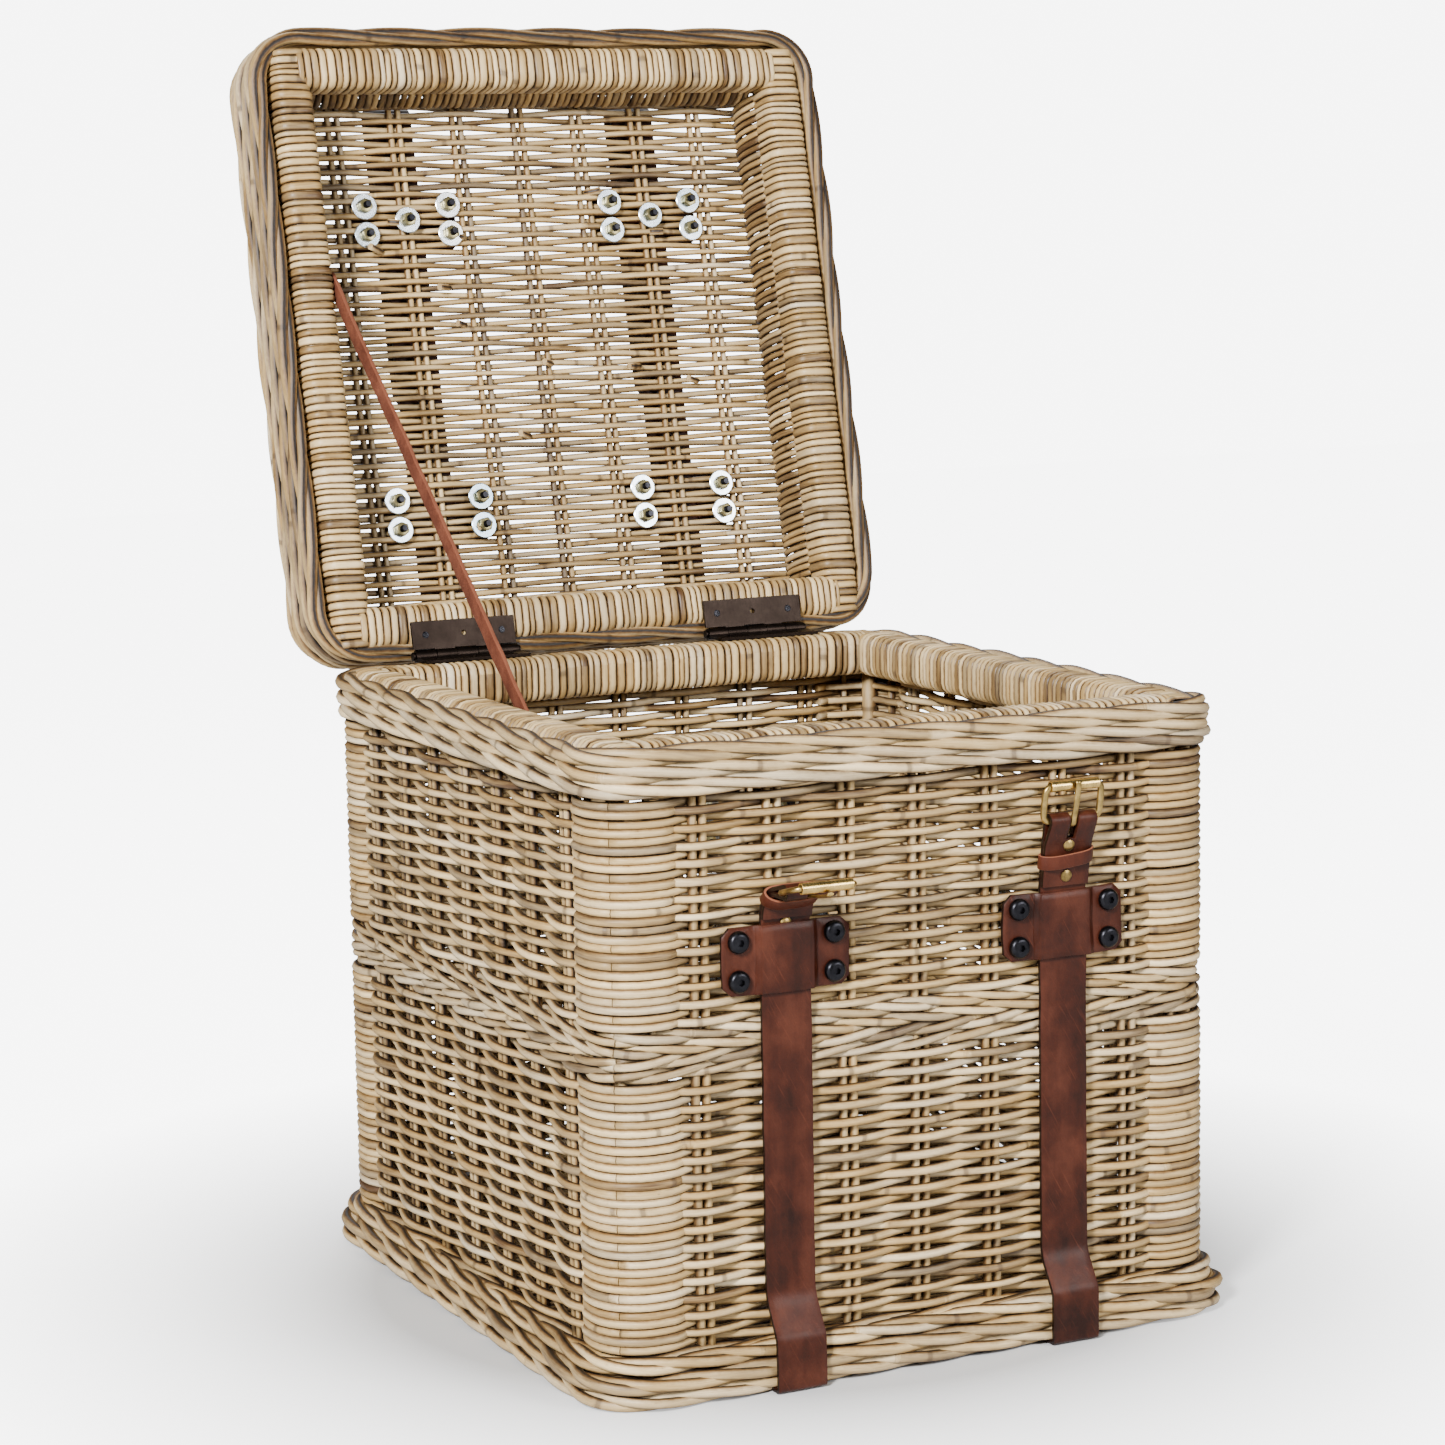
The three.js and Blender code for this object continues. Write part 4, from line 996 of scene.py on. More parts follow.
def make_stay(suede):
    """The suede strap between lid and trunk."""
    corners = [vertex.co for vertex in frame["nodes"]["stay_strap"].data.vertices]
    top = max(corners, key=lambda c: c.z)
    foot = min(corners, key=lambda c: c.z)
    run = (top - foot).normalized()
    run.x = 0
    normal = tuple(run.normalized())
    low, high = foot.dot(Vector(normal)), top.dot(Vector(normal))
    piece = softened("stay_strap", ((low, high, 9 * MM, normal),), 0.4 * MM, 0.7 * MM)
    mesh = piece.data
    flags = [1.0 if abs(vertex.normal.x) < 0.8 else 0.0 for vertex in mesh.vertices]
    mesh.attributes["edge"].data.foreach_set("value", np.array(flags, np.float32))
    piece.name = piece.data.name = "stay_strap_suede"
    mesh.materials.clear()
    mesh.materials.append(suede)
    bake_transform(piece)
    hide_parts("stay_strap")


# ---------------------------------------------------------------- metalwork
BOLT_REST = 16.9 * MM  # a bolt's head, washer, nut and end, and the play under its washer


def arc(centre, radius, start, end, steps):
    """Points (r, z) round an arc, for a turned profile."""
    angles = [math.radians(start + (end - start) * i / steps) for i in range(steps + 1)]
    return [(centre[0] + radius * math.cos(a), centre[1] + radius * math.sin(a)) for a in angles]


def scaled(profile):
    return [(radius * MM, height * MM) for radius, height in profile]


def bolt_mesh(grip, metals):
    """A button-head bolt along +Z from its seat at the origin, with a hex socket, washer and nut."""
    grip = grip / MM
    washer, nut = grip + 0.3, grip + 1.9
    end = nut + 10
    threads = [(3.0 - 0.45 * (i % 2), nut + 5.2 + i * 0.55) for i in range(8)]
    head = [(0, -5), (4.4, -5), *arc((4.4, -1.4), 3.6, -90, -8, 6), (8, -0.4), (7.7, 0), (3, 0)]
    body = turned("bolt_body", scaled([*head, (3, nut + 5), *threads, (2.3, end), (0, end)]), 24)
    bpy.ops.object.select_all(action="DESELECT")
    bpy.ops.mesh.primitive_cylinder_add(vertices=6, radius=2.7 * MM, depth=5 * MM, location=(0, 0, -5 * MM))
    socket = bpy.context.active_object
    apply_modifier(body, "socket", "BOOLEAN", operation="DIFFERENCE", object=socket, solver="EXACT")
    bpy.data.objects.remove(socket)
    smooth_by_angle(body, 32)
    ring = [(3.2, 0), (10.4, 0), (11, 0.4), (11, 1.2), (10.4, 1.6), (3.2, 1.6), (3.2, 0)]
    disc = turned("bolt_washer", scaled([(radius, washer + height) for radius, height in ring]), 32)
    smooth_by_angle(disc, 32)
    bpy.ops.object.select_all(action="DESELECT")
    bpy.ops.mesh.primitive_cylinder_add(
        vertices=6, radius=6.1 * MM, depth=4.9 * MM, location=(0, 0, (nut + 2.5) * MM), rotation=(0, 0, 0.3)
    )
    hexagon = bpy.context.active_object
    apply_modifier(hexagon, "edges", "BEVEL", width=0.6 * MM, segments=2, limit_method="ANGLE")
    smooth_by_angle(hexagon, 32)
    for part, material in zip((body, disc, hexagon), metals):
        part.data.materials.clear()
        part.data.materials.append(material)
    bpy.ops.object.select_all(action="DESELECT")
    for part in (disc, hexagon, body):
        part.select_set(True)
    bpy.context.view_layer.objects.active = body
    bpy.ops.object.join()
    bpy.ops.object.transform_apply(location=True, rotation=True, scale=True)
    mesh = body.data
    bpy.data.objects.remove(body)
    return mesh


def add_bolt(name, masters, grip, metals, matrix, body, node=None):
    """A copy of the bolt of that grip, moved by matrix from its own frame."""
    key = round(grip / MM, 1)
    if key not in masters:
        masters[key] = bolt_mesh(grip, metals)
    mesh = masters[key].copy()
    mesh.transform(matrix)
    piece = add_object(name, mesh)
    finish_piece(piece, name, None, body, "black_steel", *((node,) if node else ()))


def make_bolts(metals):
    """The bolts through the front, back and lid plates, each turned at random, and the lid's middle ones."""
    masters = {}
    inwards = Matrix.Rotation(-math.pi / 2, 4, "X")
    turns = random.Random(83)

    def spun(matrix):
        return matrix @ Matrix.Rotation(turns.uniform(0, math.tau), 4, "Z")

    for side, _ in SIDES:
        for i in range(1, 5):
            node = f"{side}_front_bolt_{i}"
            low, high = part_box(node)
            grip = high.y - low.y - BOLT_REST
            x, z, seat = (low.x + high.x) / 2, (low.z + high.z) / 2, low.y + 5 * MM
            add_bolt(node + "_metal", masters, grip, metals, spun(Matrix.Translation((x, seat, z)) @ inwards),
                     "trunk", node)
            far = Matrix.Translation((x, -seat, z)) @ Matrix.Rotation(math.pi, 4, "Z") @ inwards
            add_bolt(f"{side}_back_bolt_{i}", masters, grip, metals, spun(far), "trunk")
        rear_low, rear_high = shut_box(f"{side}_lid_rear_plate")
        front_low, front_high = shut_box(f"{side}_lid_front_plate")
        to_rear = Vector((0, (rear_low.y + rear_high.y - front_low.y - front_high.y) / 2, 0))
        for i in range(1, 6):
            node = f"{side}_lid_bolt_{i}"
            low, high = shut_box(node)
            grip = high.z - low.z - BOLT_REST
            seat = Vector(((low.x + high.x) / 2, (low.y + high.y) / 2, high.z - 5 * MM))
            down = Matrix.Rotation(math.pi, 4, "X")
            place = LID @ Matrix.Translation(seat) @ down
            add_bolt(node + "_metal", masters, grip, metals, spun(place), "lid", node)
            if i < 5:
                place = LID @ Matrix.Translation(seat + to_rear) @ down
                add_bolt(f"{side}_lid_rear_bolt_{i}", masters, grip, metals, spun(place), "lid")


def make_rivets(metal):
    """Two brass rivets through each belt's turned-back end, one each side of the keeper loop."""
    cap = scaled([(0, 1.5), (1.6, 1.4), (3.2, 0.9), (4.3, 0.25), (4.5, -0.4), (4.2, -0.8), (0, -0.8)])
    for side, _ in SIDES:
        matrix, _ = buckle_axes(side)
        belt = frame["nodes"][f"{side}_trunk_belt"].data
        tree = BVHTree.FromPolygons([v.co for v in belt.vertices], [tuple(f.vertices) for f in belt.polygons])
        out, up = matrix.col[1].to_3d(), matrix.col[2].to_3d()
        for i, below in enumerate((19 * MM, 42 * MM)):
            start = matrix.translation - up * below + out * 30 * MM
            place, normal, _, _ = tree.ray_cast(start, -out)
            normal = normal if normal.dot(out) > 0 else -normal
            rivet = turned("rivet", cap, 20)
            turn = Vector((0, 0, 1)).rotation_difference(normal).to_matrix().to_4x4()
            rivet.data.transform(Matrix.Translation(place + normal * 0.5 * MM) @ turn)
            smooth_by_angle(rivet, 40)
            finish_piece(rivet, f"{side}_belt_rivet_{i + 1}", metal, "trunk", "brass")


def ring_path(half, tall, corner, steps=6):
    """A closed path round a buckle's frame, as (across, up) points."""
    points = []
    for quarter, (x, z) in enumerate(((1, 1), (-1, 1), (-1, -1), (1, -1))):
        cx, cz = x * (half - corner), (tall if z > 0 else 0) - z * corner
        for i in range(steps + 1):
            turn = math.pi / 2 * (quarter + i / steps)
            points.append((cx + corner * math.cos(turn), cz + corner * math.sin(turn)))
    return points


PRONG_THICK = 1.25 * MM
PRONG_BROAD = 43.6 / 23.75  # how much broader than thick a prong is


def make_buckles(brass, bright):
    """Each buckle's bow-sided ring, its turning roller and its hooked prong."""
    for side, _ in SIDES:
        matrix, tall = buckle_axes(side)
        turn = np.array(matrix)
        bars = frame["nodes"][f"{side}_buckle_frame"].data
        half = max(abs((matrix.inverted() @ vertex.co).x) for vertex in bars.vertices) - 2.5 * MM
        ring = Canework()
        path = [(x, 0, z) for x, z in even_path(ring_path(half, tall, 5 * MM), 72)]
        bow = [(x * (1 + 0.025 * math.sin(math.pi * z / tall)), y, z) for x, y, z in path]
        ring.tube(moved(bow, turn), turn[:3, 1], 2.5 * MM, (0.5, 0, 0), 14, 0.86, closed=True)
        ring.build(f"{side}_buckle_ring", brass, f"{side}_buckle", "brass", f"{side}_buckle_frame")

        rim = [(2.9, -19.5), (3.7, -19.5), (4.0, -19.2), (4.0, 19.2), (3.7, 19.5), (2.9, 19.5), (2.9, -19.5)]
        roller = turned("roller", scaled(rim), 28)
        sideways = Matrix.Rotation(math.pi / 2, 4, "Y")
        roller.data.transform(Matrix.Translation(joint_place(f"{side}_roller_spin")) @ sideways)
        smooth_by_angle(roller, 40)
        node = f"{side}_buckle_roller"
        finish_piece(roller, node + "_tube", bright, f"{side}_roller", "brass", node)

        prong = Canework()
        hook = [(0, 4.2 * math.cos(a), 4.2 * math.sin(a)) for a in np.radians(np.linspace(160, 345, 12))]
        finger = [(4.4, 3), (5.2, 8), (5.7, 15), (6.1, 21), (6.35, 26), (6.2, 29), (5.7, 31)]
        way = np.array(hook + [(0, y, z) for y, z in finger]) * MM
        prong.tube(moved(way, turn), turn[:3, 0], PRONG_THICK, (0.5, 0, 0), 12, PRONG_BROAD)
        prong.build(f"{side}_buckle_tongue", brass, f"{side}_prong", "brass", f"{side}_buckle_prong")


def moved(points, matrix):
    return np.asarray(points, float) @ matrix[:3, :3].T + matrix[:3, 3]


def even_path(points, count):
    """Points spread evenly round a closed path of (x, z) points."""
    points = np.array(points)
    closed = np.vstack([points, points[:1]])
    reach = np.concatenate([[0], np.cumsum(np.linalg.norm(np.diff(closed, axis=0), axis=1))])
    spots = np.arange(count) * reach[-1] / count
    return list(zip(np.interp(spots, reach, closed[:, 0]), np.interp(spots, reach, closed[:, 1])))


def make_hinges(bronze, steel):
    """The hinge leaves and pins with their edges eased, and cross-head screws in the leaves."""
    screw = screw_mesh(steel)
    upside_down = Matrix.Diagonal((1, 1, -1, 1))
    for side, _ in SIDES:
        for node, matrix, body in (
            (f"{side}_hinge_lid_leaf", LID, "lid"),
            (f"{side}_hinge_trunk_leaf", None, "trunk"),
            (f"{side}_hinge_pin", None, "trunk"),
        ):
            piece = softened(node, (), 0.25 * MM, 0, matrix)
            smooth_by_angle(piece, 40)
            apply_modifier(piece, "flat_faces", "WEIGHTED_NORMAL", keep_sharp=True)
            finish_piece(piece, node + "_bronze", bronze, body, "bronze", node)
        low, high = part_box(f"{side}_hinge_pin")
        middle = (low.x + high.x) / 2
        for i, step in enumerate((-1, 1)):
            place = Vector((middle + step * 33 * MM, -16.8 * MM, 0.35 * MM))
            for body, matrix in (
                ("lid", LID @ Matrix.Translation(place)),
                ("trunk", Matrix.Translation(HINGE) @ upside_down @ Matrix.Translation(place)),
            ):
                mesh = screw.copy()
                mesh.transform(matrix)
                if matrix.determinant() < 0:
                    mesh.flip_normals()
                piece = add_object("screw", mesh)
                finish_piece(piece, f"{side}_hinge_{body}_screw_{i + 1}", None, body, "bronze")


def screw_mesh(material):
    """A cross-head screw's head, facing -Z, with its face near the origin."""
    profile = scaled([(0, -0.2), (2.6, -0.15), (3.3, 0.1), (3.5, 0.45), (2.1, 1.6), (2.1, 7), (0, 8)])
    head = turned("screw_head", profile, 20)
    for turn in (0.4, 0.4 + math.pi / 2):
        bpy.ops.object.select_all(action="DESELECT")
        size = (4 * MM, 0.9 * MM, 2 * MM)
        bpy.ops.mesh.primitive_cube_add(size=1, location=(0, 0, 0), rotation=(0, 0, turn), scale=size)
        slot = bpy.context.active_object
        apply_modifier(head, "slot", "BOOLEAN", operation="DIFFERENCE", object=slot, solver="EXACT")
        bpy.data.objects.remove(slot)
    smooth_by_angle(head, 35)
    head.data.materials.append(material)
    mesh = head.data
    bpy.data.objects.remove(head)
    return mesh


# ---------------------------------------------------------------- leather and metal finishes
def leather_material(name, colours, edge_colour, rough):
    """Leather: mottled dye, pull-up creases, fine pores, and its own colour on the cut sides."""
    material, tree, shader = new_material(name)
    n = Nodes(tree)
    place = n.node("TexCoord").outputs["Object"]
    mottle = n.noise(place, 26, 5, 0.6)
    streak = n.noise(n.stretch(place, (60, 60, 12)), 1.0, 4, 0.6)
    fine = n.noise(place, 900, 3, 0.6)
    value = n.maths("ADD", n.maths("MULTIPLY", mottle, 0.62), n.maths("MULTIPLY", streak, 0.38))
    colour = n.ramp(value, ((0.37, colours[0]), (0.5, colours[1]), (0.64, colours[2])))
    colour = n.mix(n.maths("MULTIPLY_ADD", fine, 0.5, -0.1), colour, colours[0])
    slanted = n.node("VectorRotate", rotation_type="Y_AXIS")
    slanted.inputs["Angle"].default_value = 0.5
    n.link(place, slanted.inputs["Vector"])
    rub = n.noise(n.stretch(slanted.outputs[0], (700, 260, 30)), 1.0, 3, 0.65)
    scuff = n.ramp(rub, ((0.6, (0, 0, 0)), (0.74, (1, 1, 1))))
    colour = n.mix(n.maths("MULTIPLY", scuff, 0.45), colour, shade(colours[2], 1.5))
    edge = n.node("Attribute", attribute_name="edge").outputs["Fac"]
    colour = n.mix(edge, colour, edge_colour)
    n.link(colour, shader.inputs["Base Color"])
    n.link(n.maths("MULTIPLY_ADD", streak, 0.3, rough - 0.15), shader.inputs["Roughness"])
    shader.inputs["Specular IOR Level"].default_value = 0.2
    cells = n.node("TexVoronoi", feature="DISTANCE_TO_EDGE")
    cells.inputs["Scale"].default_value = 620
    n.link(place, cells.inputs["Vector"])
    crease = n.noise(n.stretch(place, (220, 220, 55)), 1.0, 3, 0.7)
    height = n.maths("ADD", n.maths("MULTIPLY", cells.outputs[0], 0.5), n.maths("MULTIPLY", fine, 0.5))
    height = n.maths("ADD", height, n.maths("MULTIPLY", crease, 1.2))
    n.bump(height, shader, 0.45, 0.35 * MM)
    return material


def suede_material(name, sizes):
    """Suede: a short brushed nap with pale flecks, and paler cut sides."""
    material, tree, shader = new_material(name)
    n = Nodes(tree)
    place = n.node("TexCoord").outputs["Object"]
    nap = n.noise(place, 1400, 4, 0.75)
    mottle = n.noise(place, 60, 4, 0.6)
    value = n.maths("ADD", n.maths("MULTIPLY", nap, 0.6), n.maths("MULTIPLY", mottle, 0.4))
    colour = n.ramp(value, ((0.36, sizes.suede_dark), (0.52, sizes.suede), (0.68, sizes.suede_light)))
    edge = n.node("Attribute", attribute_name="edge").outputs["Fac"]
    colour = n.mix(n.maths("MULTIPLY", edge, 0.5), colour, sizes.suede_light)
    n.link(colour, shader.inputs["Base Color"])
    shader.inputs["Roughness"].default_value = 0.95
    shader.inputs["Specular IOR Level"].default_value = 0.15
    n.bump(nap, shader, 0.6, 0.35 * MM)
    return material


def metal_material(name, dark, base, bright, rough, scale=90):
    """Metal: tarnish in soft patches, brighter rubbed spots and fine scratches."""
    material, tree, shader = new_material(name)
    n = Nodes(tree)
    place = n.node("TexCoord").outputs["Object"]
    patch = n.noise(place, scale, 5, 0.6)
    scratch = n.noise(n.stretch(place, (2400, 260, 260)), 1.0, 2, 0.6)
    value = n.maths("ADD", n.maths("MULTIPLY", patch, 0.8), n.maths("MULTIPLY", scratch, 0.2))
    n.link(n.ramp(value, ((0.34, dark), (0.5, base), (0.66, bright))), shader.inputs["Base Color"])
    n.link(n.maths("MULTIPLY_ADD", scratch, 0.3, rough - 0.15), shader.inputs["Roughness"])
    shader.inputs["Metallic"].default_value = 1.0
    n.bump(scratch, shader, 0.15, 0.05 * MM)
    return material


# ---------------------------------------------------------------- operators, settings and panel
def colour_property(name, value, description):
    return bpy.props.FloatVectorProperty(
        name=name, description=description, default=value, size=3, min=0, max=1, subtype="COLOR"
    )


class WickerTrunkSettings(bpy.types.PropertyGroup):
    """The weave's row pitch, and the colours of the rattan, leather, suede and metals."""

    row_pitch: bpy.props.FloatProperty(
        name="Row pitch",
        description="Height from one row of weave to the next",
        default=6.1 * MM,
        unit="LENGTH",
    )
    cane_light: colour_property("Cane light", (0.85, 0.63, 0.32), "The brightest warm rattan")
    cane_mid: colour_property("Cane", (0.46, 0.295, 0.108), "The usual warm rattan")
    cane_dark: colour_property("Cane dark", (0.08, 0.037, 0.012), "The darkest warm rattan")
    grey_light: colour_property("Grey light", (0.78, 0.66, 0.46), "The brightest greyed rattan")
    grey_mid: colour_property("Grey", (0.34, 0.26, 0.15), "The usual greyed rattan")
    grey_dark: colour_property("Grey dark", (0.08, 0.052, 0.028), "The darkest greyed rattan")
    cane_scar: colour_property("Scars", (0.11, 0.052, 0.02), "Scars and smudges on the rattan")
    cane_ring: colour_property("Growth rings", (0.06, 0.034, 0.018), "The dark rings between growths")
    leather_dark: colour_property("Leather dark", (0.014, 0.0034, 0.0016), "The leather's deepest dye")
    leather: colour_property("Leather", (0.042, 0.0088, 0.0036), "The leather's usual brown")
    leather_light: colour_property("Leather light", (0.078, 0.02, 0.0095), "The leather pulled pale")
    suede_dark: colour_property("Suede dark", (0.055, 0.013, 0.006), "The suede's shadows")
    suede: colour_property("Suede", (0.125, 0.037, 0.019), "The suede's usual red brown")
    suede_light: colour_property("Suede light", (0.23, 0.08, 0.042), "The suede's flecks and cut sides")
    brass: colour_property("Brass", (0.42, 0.29, 0.1), "The buckles' antique brass")
    bronze: colour_property("Bronze", (0.022, 0.0155, 0.0125), "The hinges' dark bronze plate")
    black: colour_property("Black steel", (0.022, 0.022, 0.026), "The bolts' heads")


def shade(colour, amount):
    """A colour made darker or lighter by a factor."""
    return tuple(min(channel * amount, 1.0) for channel in colour)


class Finishes:
    """The settings' values, and the materials made from them, each made once."""

    def __init__(self, settings):
        for key in WickerTrunkSettings.__annotations__:
            value = getattr(settings, key)
            setattr(self, key, value if isinstance(value, float) else tuple(value))

    def made(self, name, maker, *arguments):
        return bpy.data.materials.get(name) or maker(name, *arguments)

    def woven(self):
        return self.made("woven_rattan_finish", cane_material, self, 0.5, 0.29)

    def roped(self):
        return self.made("rope_rattan_finish", cane_material, self, 0.5, 0.33)

    def wrapped(self):
        return self.made("wrapped_rattan_finish", cane_material, self, 0.42, 0.37)

    def belt_leather(self):
        colours = (self.leather_dark, self.leather, self.leather_light)
        sides = shade(self.leather_dark, 0.5)
        return self.made("belt_leather_finish", leather_material, colours, sides, 0.42)

    def loop_leather(self):
        colours = (self.leather, shade(self.leather, 1.5), self.leather_light)
        return self.made("loop_leather_finish", leather_material, colours, self.suede_light, 0.5)

    def stay_suede(self):
        return self.made("stay_suede_finish", suede_material, self)

    def metal(self, name, colour, rough, dark=0.45, bright=1.7):
        return self.made(name, metal_material, shade(colour, dark), colour, shade(colour, bright), rough)

    def frame_brass(self):
        return self.metal("antique_brass_finish", self.brass, 0.34)

    def roller_brass(self):
        # lighter brass on the roller: rubbed wear and a painted highlight
        return self.metal("rubbed_brass_finish", shade(self.brass, 1.5), 0.3, 0.6, 1.4)

    def rivet_brass(self):
        return self.metal("rivet_brass_finish", shade(self.brass, 0.7), 0.4)

    def hinge_bronze(self):
        return self.made("dark_bronze_finish", metal_material, shade(self.bronze, 0.75), self.bronze,
                         shade(self.bronze, 1.3), 0.42, 60)

    def screw_black(self):
        return self.metal("screw_black_finish", self.black, 0.3, 0.4, 2.0)

    def bolt_metals(self):
        head = self.metal("black_steel_finish", self.black, 0.36, 0.7, 1.6)
        blue, zinc, white = (0.26, 0.34, 0.4), (0.66, 0.72, 0.77), (0.93, 0.93, 0.9)
        washer = self.made("zinc_washer_finish", metal_material, blue, zinc, white, 0.28, 8)
        nut = self.metal("yellow_zinc_nut_finish", (0.42, 0.36, 0.18), 0.35)
        return head, washer, nut


def finishes():
    return Finishes(bpy.context.scene.wicker_trunk)


class TRUNK_OT_walls(bpy.types.Operator):
    """Weave the four walls and wrap the corners"""

    bl_idname = "trunk.walls"
    bl_label = "Walls"

    def execute(self, context):
        sizes = finishes()
        weave_walls(sizes, sizes.woven())
        wrap_corners(sizes, sizes.woven())
        weave_floor(sizes.woven())
        return {"FINISHED"}


class TRUNK_OT_borders(bpy.types.Operator):
    """Twist the borders under the rim and round the foot"""

    bl_idname = "trunk.borders"
    bl_label = "Borders"

    def execute(self, context):
        twist_borders(finishes().roped())
        return {"FINISHED"}


class TRUNK_OT_rims(bpy.types.Operator):
    """Wrap the rims of the trunk and the lid"""

    bl_idname = "trunk.rims"
    bl_label = "Rims"

    def execute(self, context):
        wrap_rims(finishes().wrapped())
        return {"FINISHED"}


class TRUNK_OT_lid(bpy.types.Operator):
    """Weave the lid and twist its sides"""

    bl_idname = "trunk.lid"
    bl_label = "Lid"

    def execute(self, context):
        sizes = finishes()
        weave_lid(sizes, sizes.woven())
        twist_lid_sides(sizes.roped())
        wrap_lid_inside(sizes.woven())
        return {"FINISHED"}


class TRUNK_OT_leather(bpy.types.Operator):
    """Cut the belts, plates and keeper loops, and the suede stay"""

    bl_idname = "trunk.leather"
    bl_label = "Leather"

    def execute(self, context):
        sizes = finishes()
        make_belts(sizes.belt_leather())
        make_plates(sizes.belt_leather())
        make_keeper_loops(sizes.loop_leather())
        make_stay(sizes.stay_suede())
        return {"FINISHED"}


class TRUNK_OT_buckles(bpy.types.Operator):
    """Make the roller buckles and the belts' rivets"""

    bl_idname = "trunk.buckles"
    bl_label = "Buckles"

    def execute(self, context):
        sizes = finishes()
        make_buckles(sizes.frame_brass(), sizes.roller_brass())
        make_rivets(sizes.rivet_brass())
        return {"FINISHED"}


class TRUNK_OT_fixings(bpy.types.Operator):
    """Make the bolts, the hinges and their screws"""

    bl_idname = "trunk.fixings"
    bl_label = "Bolts and hinges"

    def execute(self, context):
        sizes = finishes()
        make_bolts(sizes.bolt_metals())
        make_hinges(sizes.hinge_bronze(), sizes.screw_black())
        return {"FINISHED"}


class TRUNK_OT_stage(bpy.types.Operator):
    """Add the floor, the lights and the camera"""

    bl_idname = "trunk.stage"
    bl_label = "Stage"

    def execute(self, context):
        make_floor()
        make_lights()
        make_camera()
        return {"FINISHED"}


# Each light's name, place, power in watts and size.
LIGHTS = (
    ("key", (-2.6, -2.4, 2.2), 380, 0.7),
    ("fill", (1.6, -2.8, 1.5), 80, 1.2),
    ("rear", (0.6, 2.2, 2.4), 40, 2.0),
)
FLOOR_GLOW, BACKDROP_GLOW = 6.8, 7.0  # what the camera sees past the object
ROOM_LIGHT = 0.12  # what the backdrop adds to the lamps


def make_floor():
    """A plain pale floor, which glows to the backdrop's white for the camera away from the object; the glow
    fades out towards the object, a painted soft shadow round it.
    """
    bpy.ops.mesh.primitive_plane_add(size=14)
    floor = bpy.context.active_object
    floor.name = "studio_floor"
    material, tree, shader = new_material("studio_white")
    shader.inputs["Base Color"].default_value = (0.62, 0.62, 0.62, 1)
    shader.inputs["Roughness"].default_value = 0.9
    n = Nodes(tree)
    reach = n.node("VectorMath", operation="LENGTH")
    n.link(n.node("TexCoord").outputs["Object"], reach.inputs[0])
    # the glow fades in from 0.3 m to 0.75 m from the middle, which paints a soft shadow-like darkening round
    # the trunk
    clear = n.ramp(reach.outputs["Value"], ((0.3, (0, 0, 0)), (0.75, (1, 1, 1))))
    glow = n.maths("MULTIPLY", clear, n.node("LightPath").outputs["Is Camera Ray"])
    n.link(n.maths("MULTIPLY", glow, FLOOR_GLOW), shader.inputs["Emission Strength"])
    shader.inputs["Emission Color"].default_value = (1, 1, 1, 1)
    floor.data.materials.append(material)


def make_lights():
    """Three soft lamps, and a backdrop that is bright to the camera and dim as a light."""
    world = bpy.data.worlds.new("studio")
    world.use_nodes = True
    backdrop = world.node_tree.nodes["Background"]
    backdrop.inputs[0].default_value = (1, 1, 1, 1)
    seen = world.node_tree.nodes.new("ShaderNodeLightPath").outputs["Is Camera Ray"]
    strength = world.node_tree.nodes.new("ShaderNodeMath")
    strength.operation = "MULTIPLY_ADD"
    strength.inputs[1].default_value, strength.inputs[2].default_value = BACKDROP_GLOW, ROOM_LIGHT
    world.node_tree.links.new(seen, strength.inputs[0])
    world.node_tree.links.new(strength.outputs[0], backdrop.inputs[1])
    bpy.context.scene.world = world
    for name, place, power, size in LIGHTS:
        lamp = bpy.data.lights.new(name, "AREA")
        lamp.energy, lamp.size = power, size
        holder = add_object(name, lamp)
        holder.location = place
        aim = Vector((0, 0, 0.4)) - Vector(place)
        holder.rotation_euler = aim.to_track_quat("-Z", "Y").to_euler()


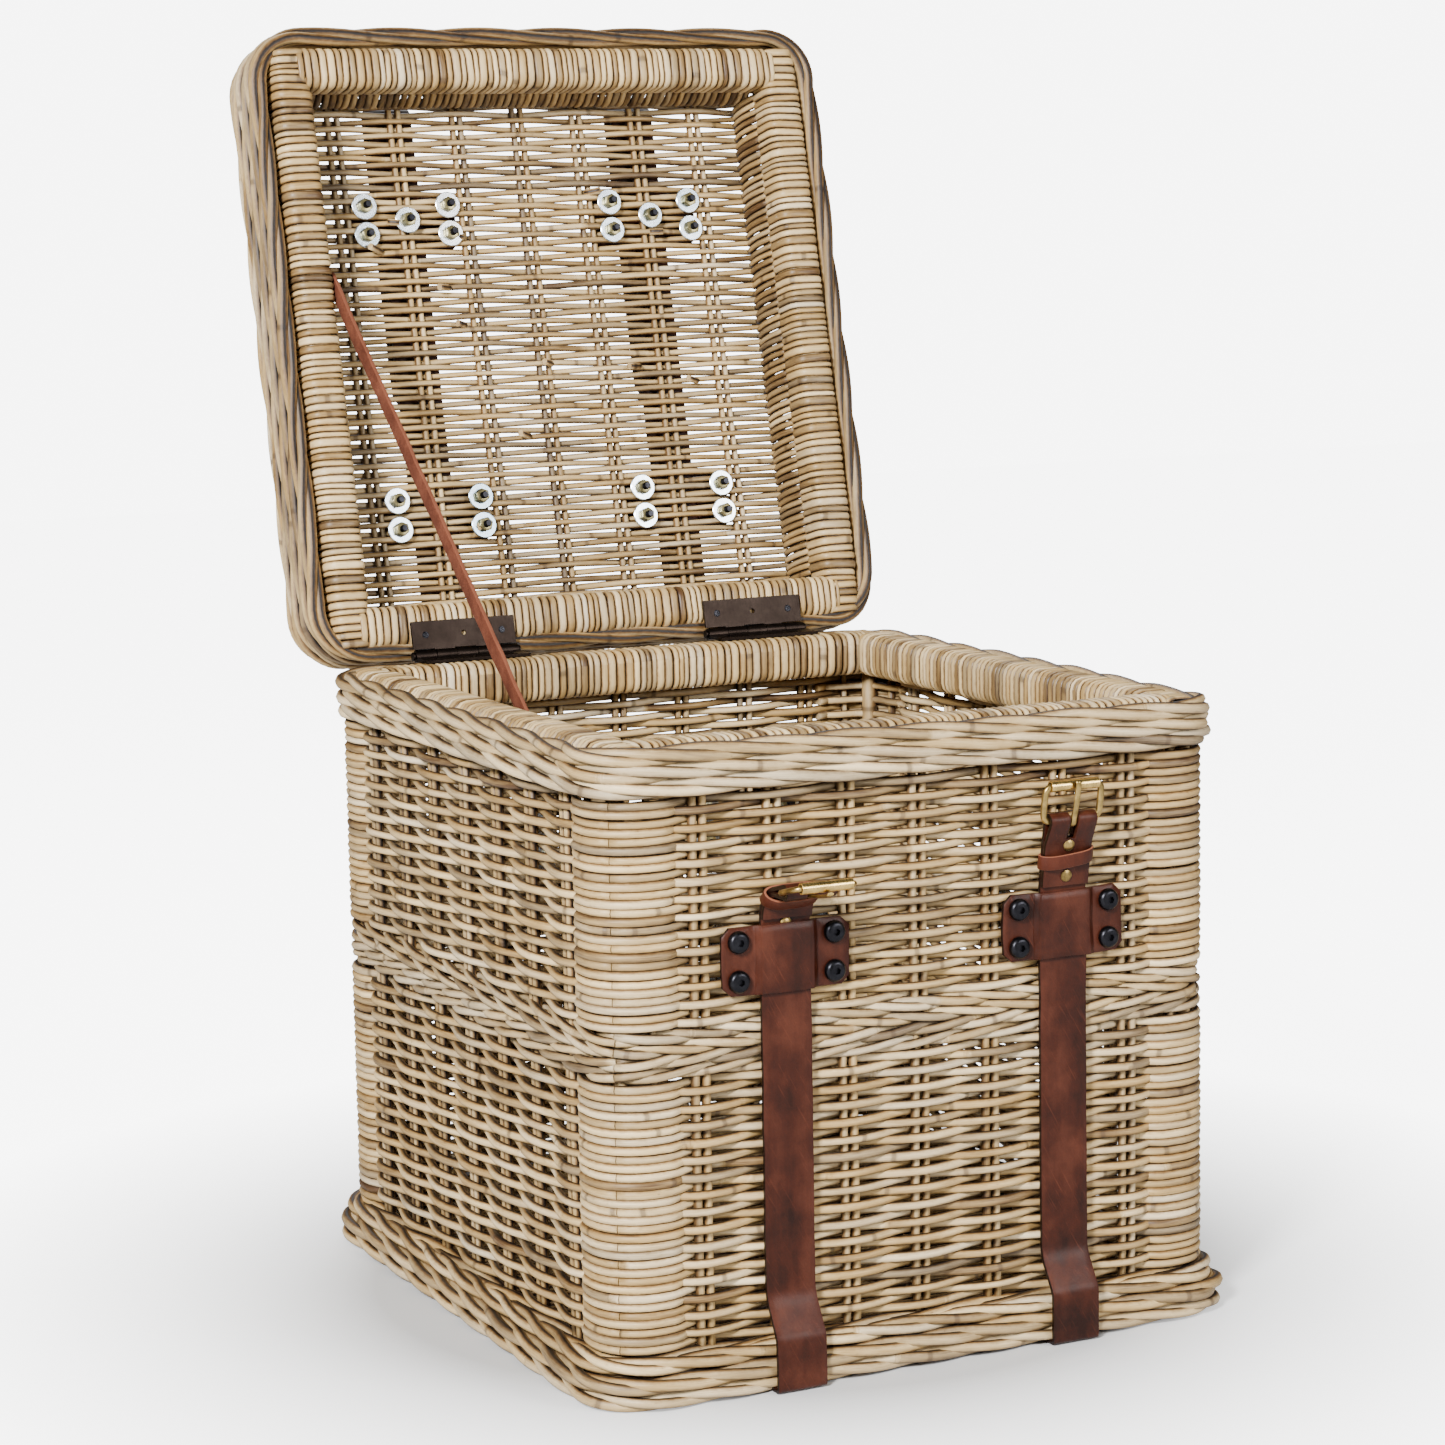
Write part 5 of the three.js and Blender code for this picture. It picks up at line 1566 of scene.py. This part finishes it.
CAMERA_PLACE = (-1.2354, -2.4687, 0.8271)
CAMERA_TURN = (26.06, 8.23, -1.04)  # yaw, pitch down and roll, in degrees


def make_camera():
    camera = bpy.data.cameras.new("camera")
    camera.lens, camera.sensor_width = 91.6, 36
    holder = add_object("camera", camera)
    yaw, pitch, roll = (math.radians(turn) for turn in CAMERA_TURN)
    forward = Vector((math.sin(yaw) * math.cos(pitch), math.cos(yaw) * math.cos(pitch), -math.sin(pitch)))
    turn = forward.to_track_quat("-Z", "Y").to_matrix().to_4x4() @ Matrix.Rotation(roll, 4, "Z")
    holder.matrix_world = Matrix.Translation(CAMERA_PLACE) @ turn
    bpy.context.scene.camera = holder


class TRUNK_PT_panel(bpy.types.Panel):
    """The trunk's operators and settings"""

    bl_idname = "TRUNK_PT_panel"
    bl_label = "Wicker Trunk"
    bl_space_type = "VIEW_3D"
    bl_region_type = "UI"
    bl_category = "Trunk"

    def draw(self, context):
        for step in STEPS:
            self.layout.operator(step.bl_idname)
        for key in WickerTrunkSettings.__annotations__:
            self.layout.prop(context.scene.wicker_trunk, key)


STEPS = (
    TRUNK_OT_stage,
    TRUNK_OT_walls,
    TRUNK_OT_borders,
    TRUNK_OT_rims,
    TRUNK_OT_lid,
    TRUNK_OT_leather,
    TRUNK_OT_buckles,
    TRUNK_OT_fixings,
)
CLASSES = (WickerTrunkSettings, *STEPS, TRUNK_PT_panel)


def register():
    for cls in CLASSES:
        bpy.utils.register_class(cls)
    bpy.types.Scene.wicker_trunk = bpy.props.PointerProperty(type=WickerTrunkSettings)


def unregister():
    del bpy.types.Scene.wicker_trunk
    for cls in reversed(CLASSES):
        bpy.utils.unregister_class(cls)


def main():
    register()
    bpy.ops.trunk.stage()
    bpy.ops.trunk.walls()
    bpy.ops.trunk.borders()
    bpy.ops.trunk.rims()
    bpy.ops.trunk.lid()
    bpy.ops.trunk.leather()
    bpy.ops.trunk.buckles()
    bpy.ops.trunk.fixings()


if __name__ == "__main__":
    main()
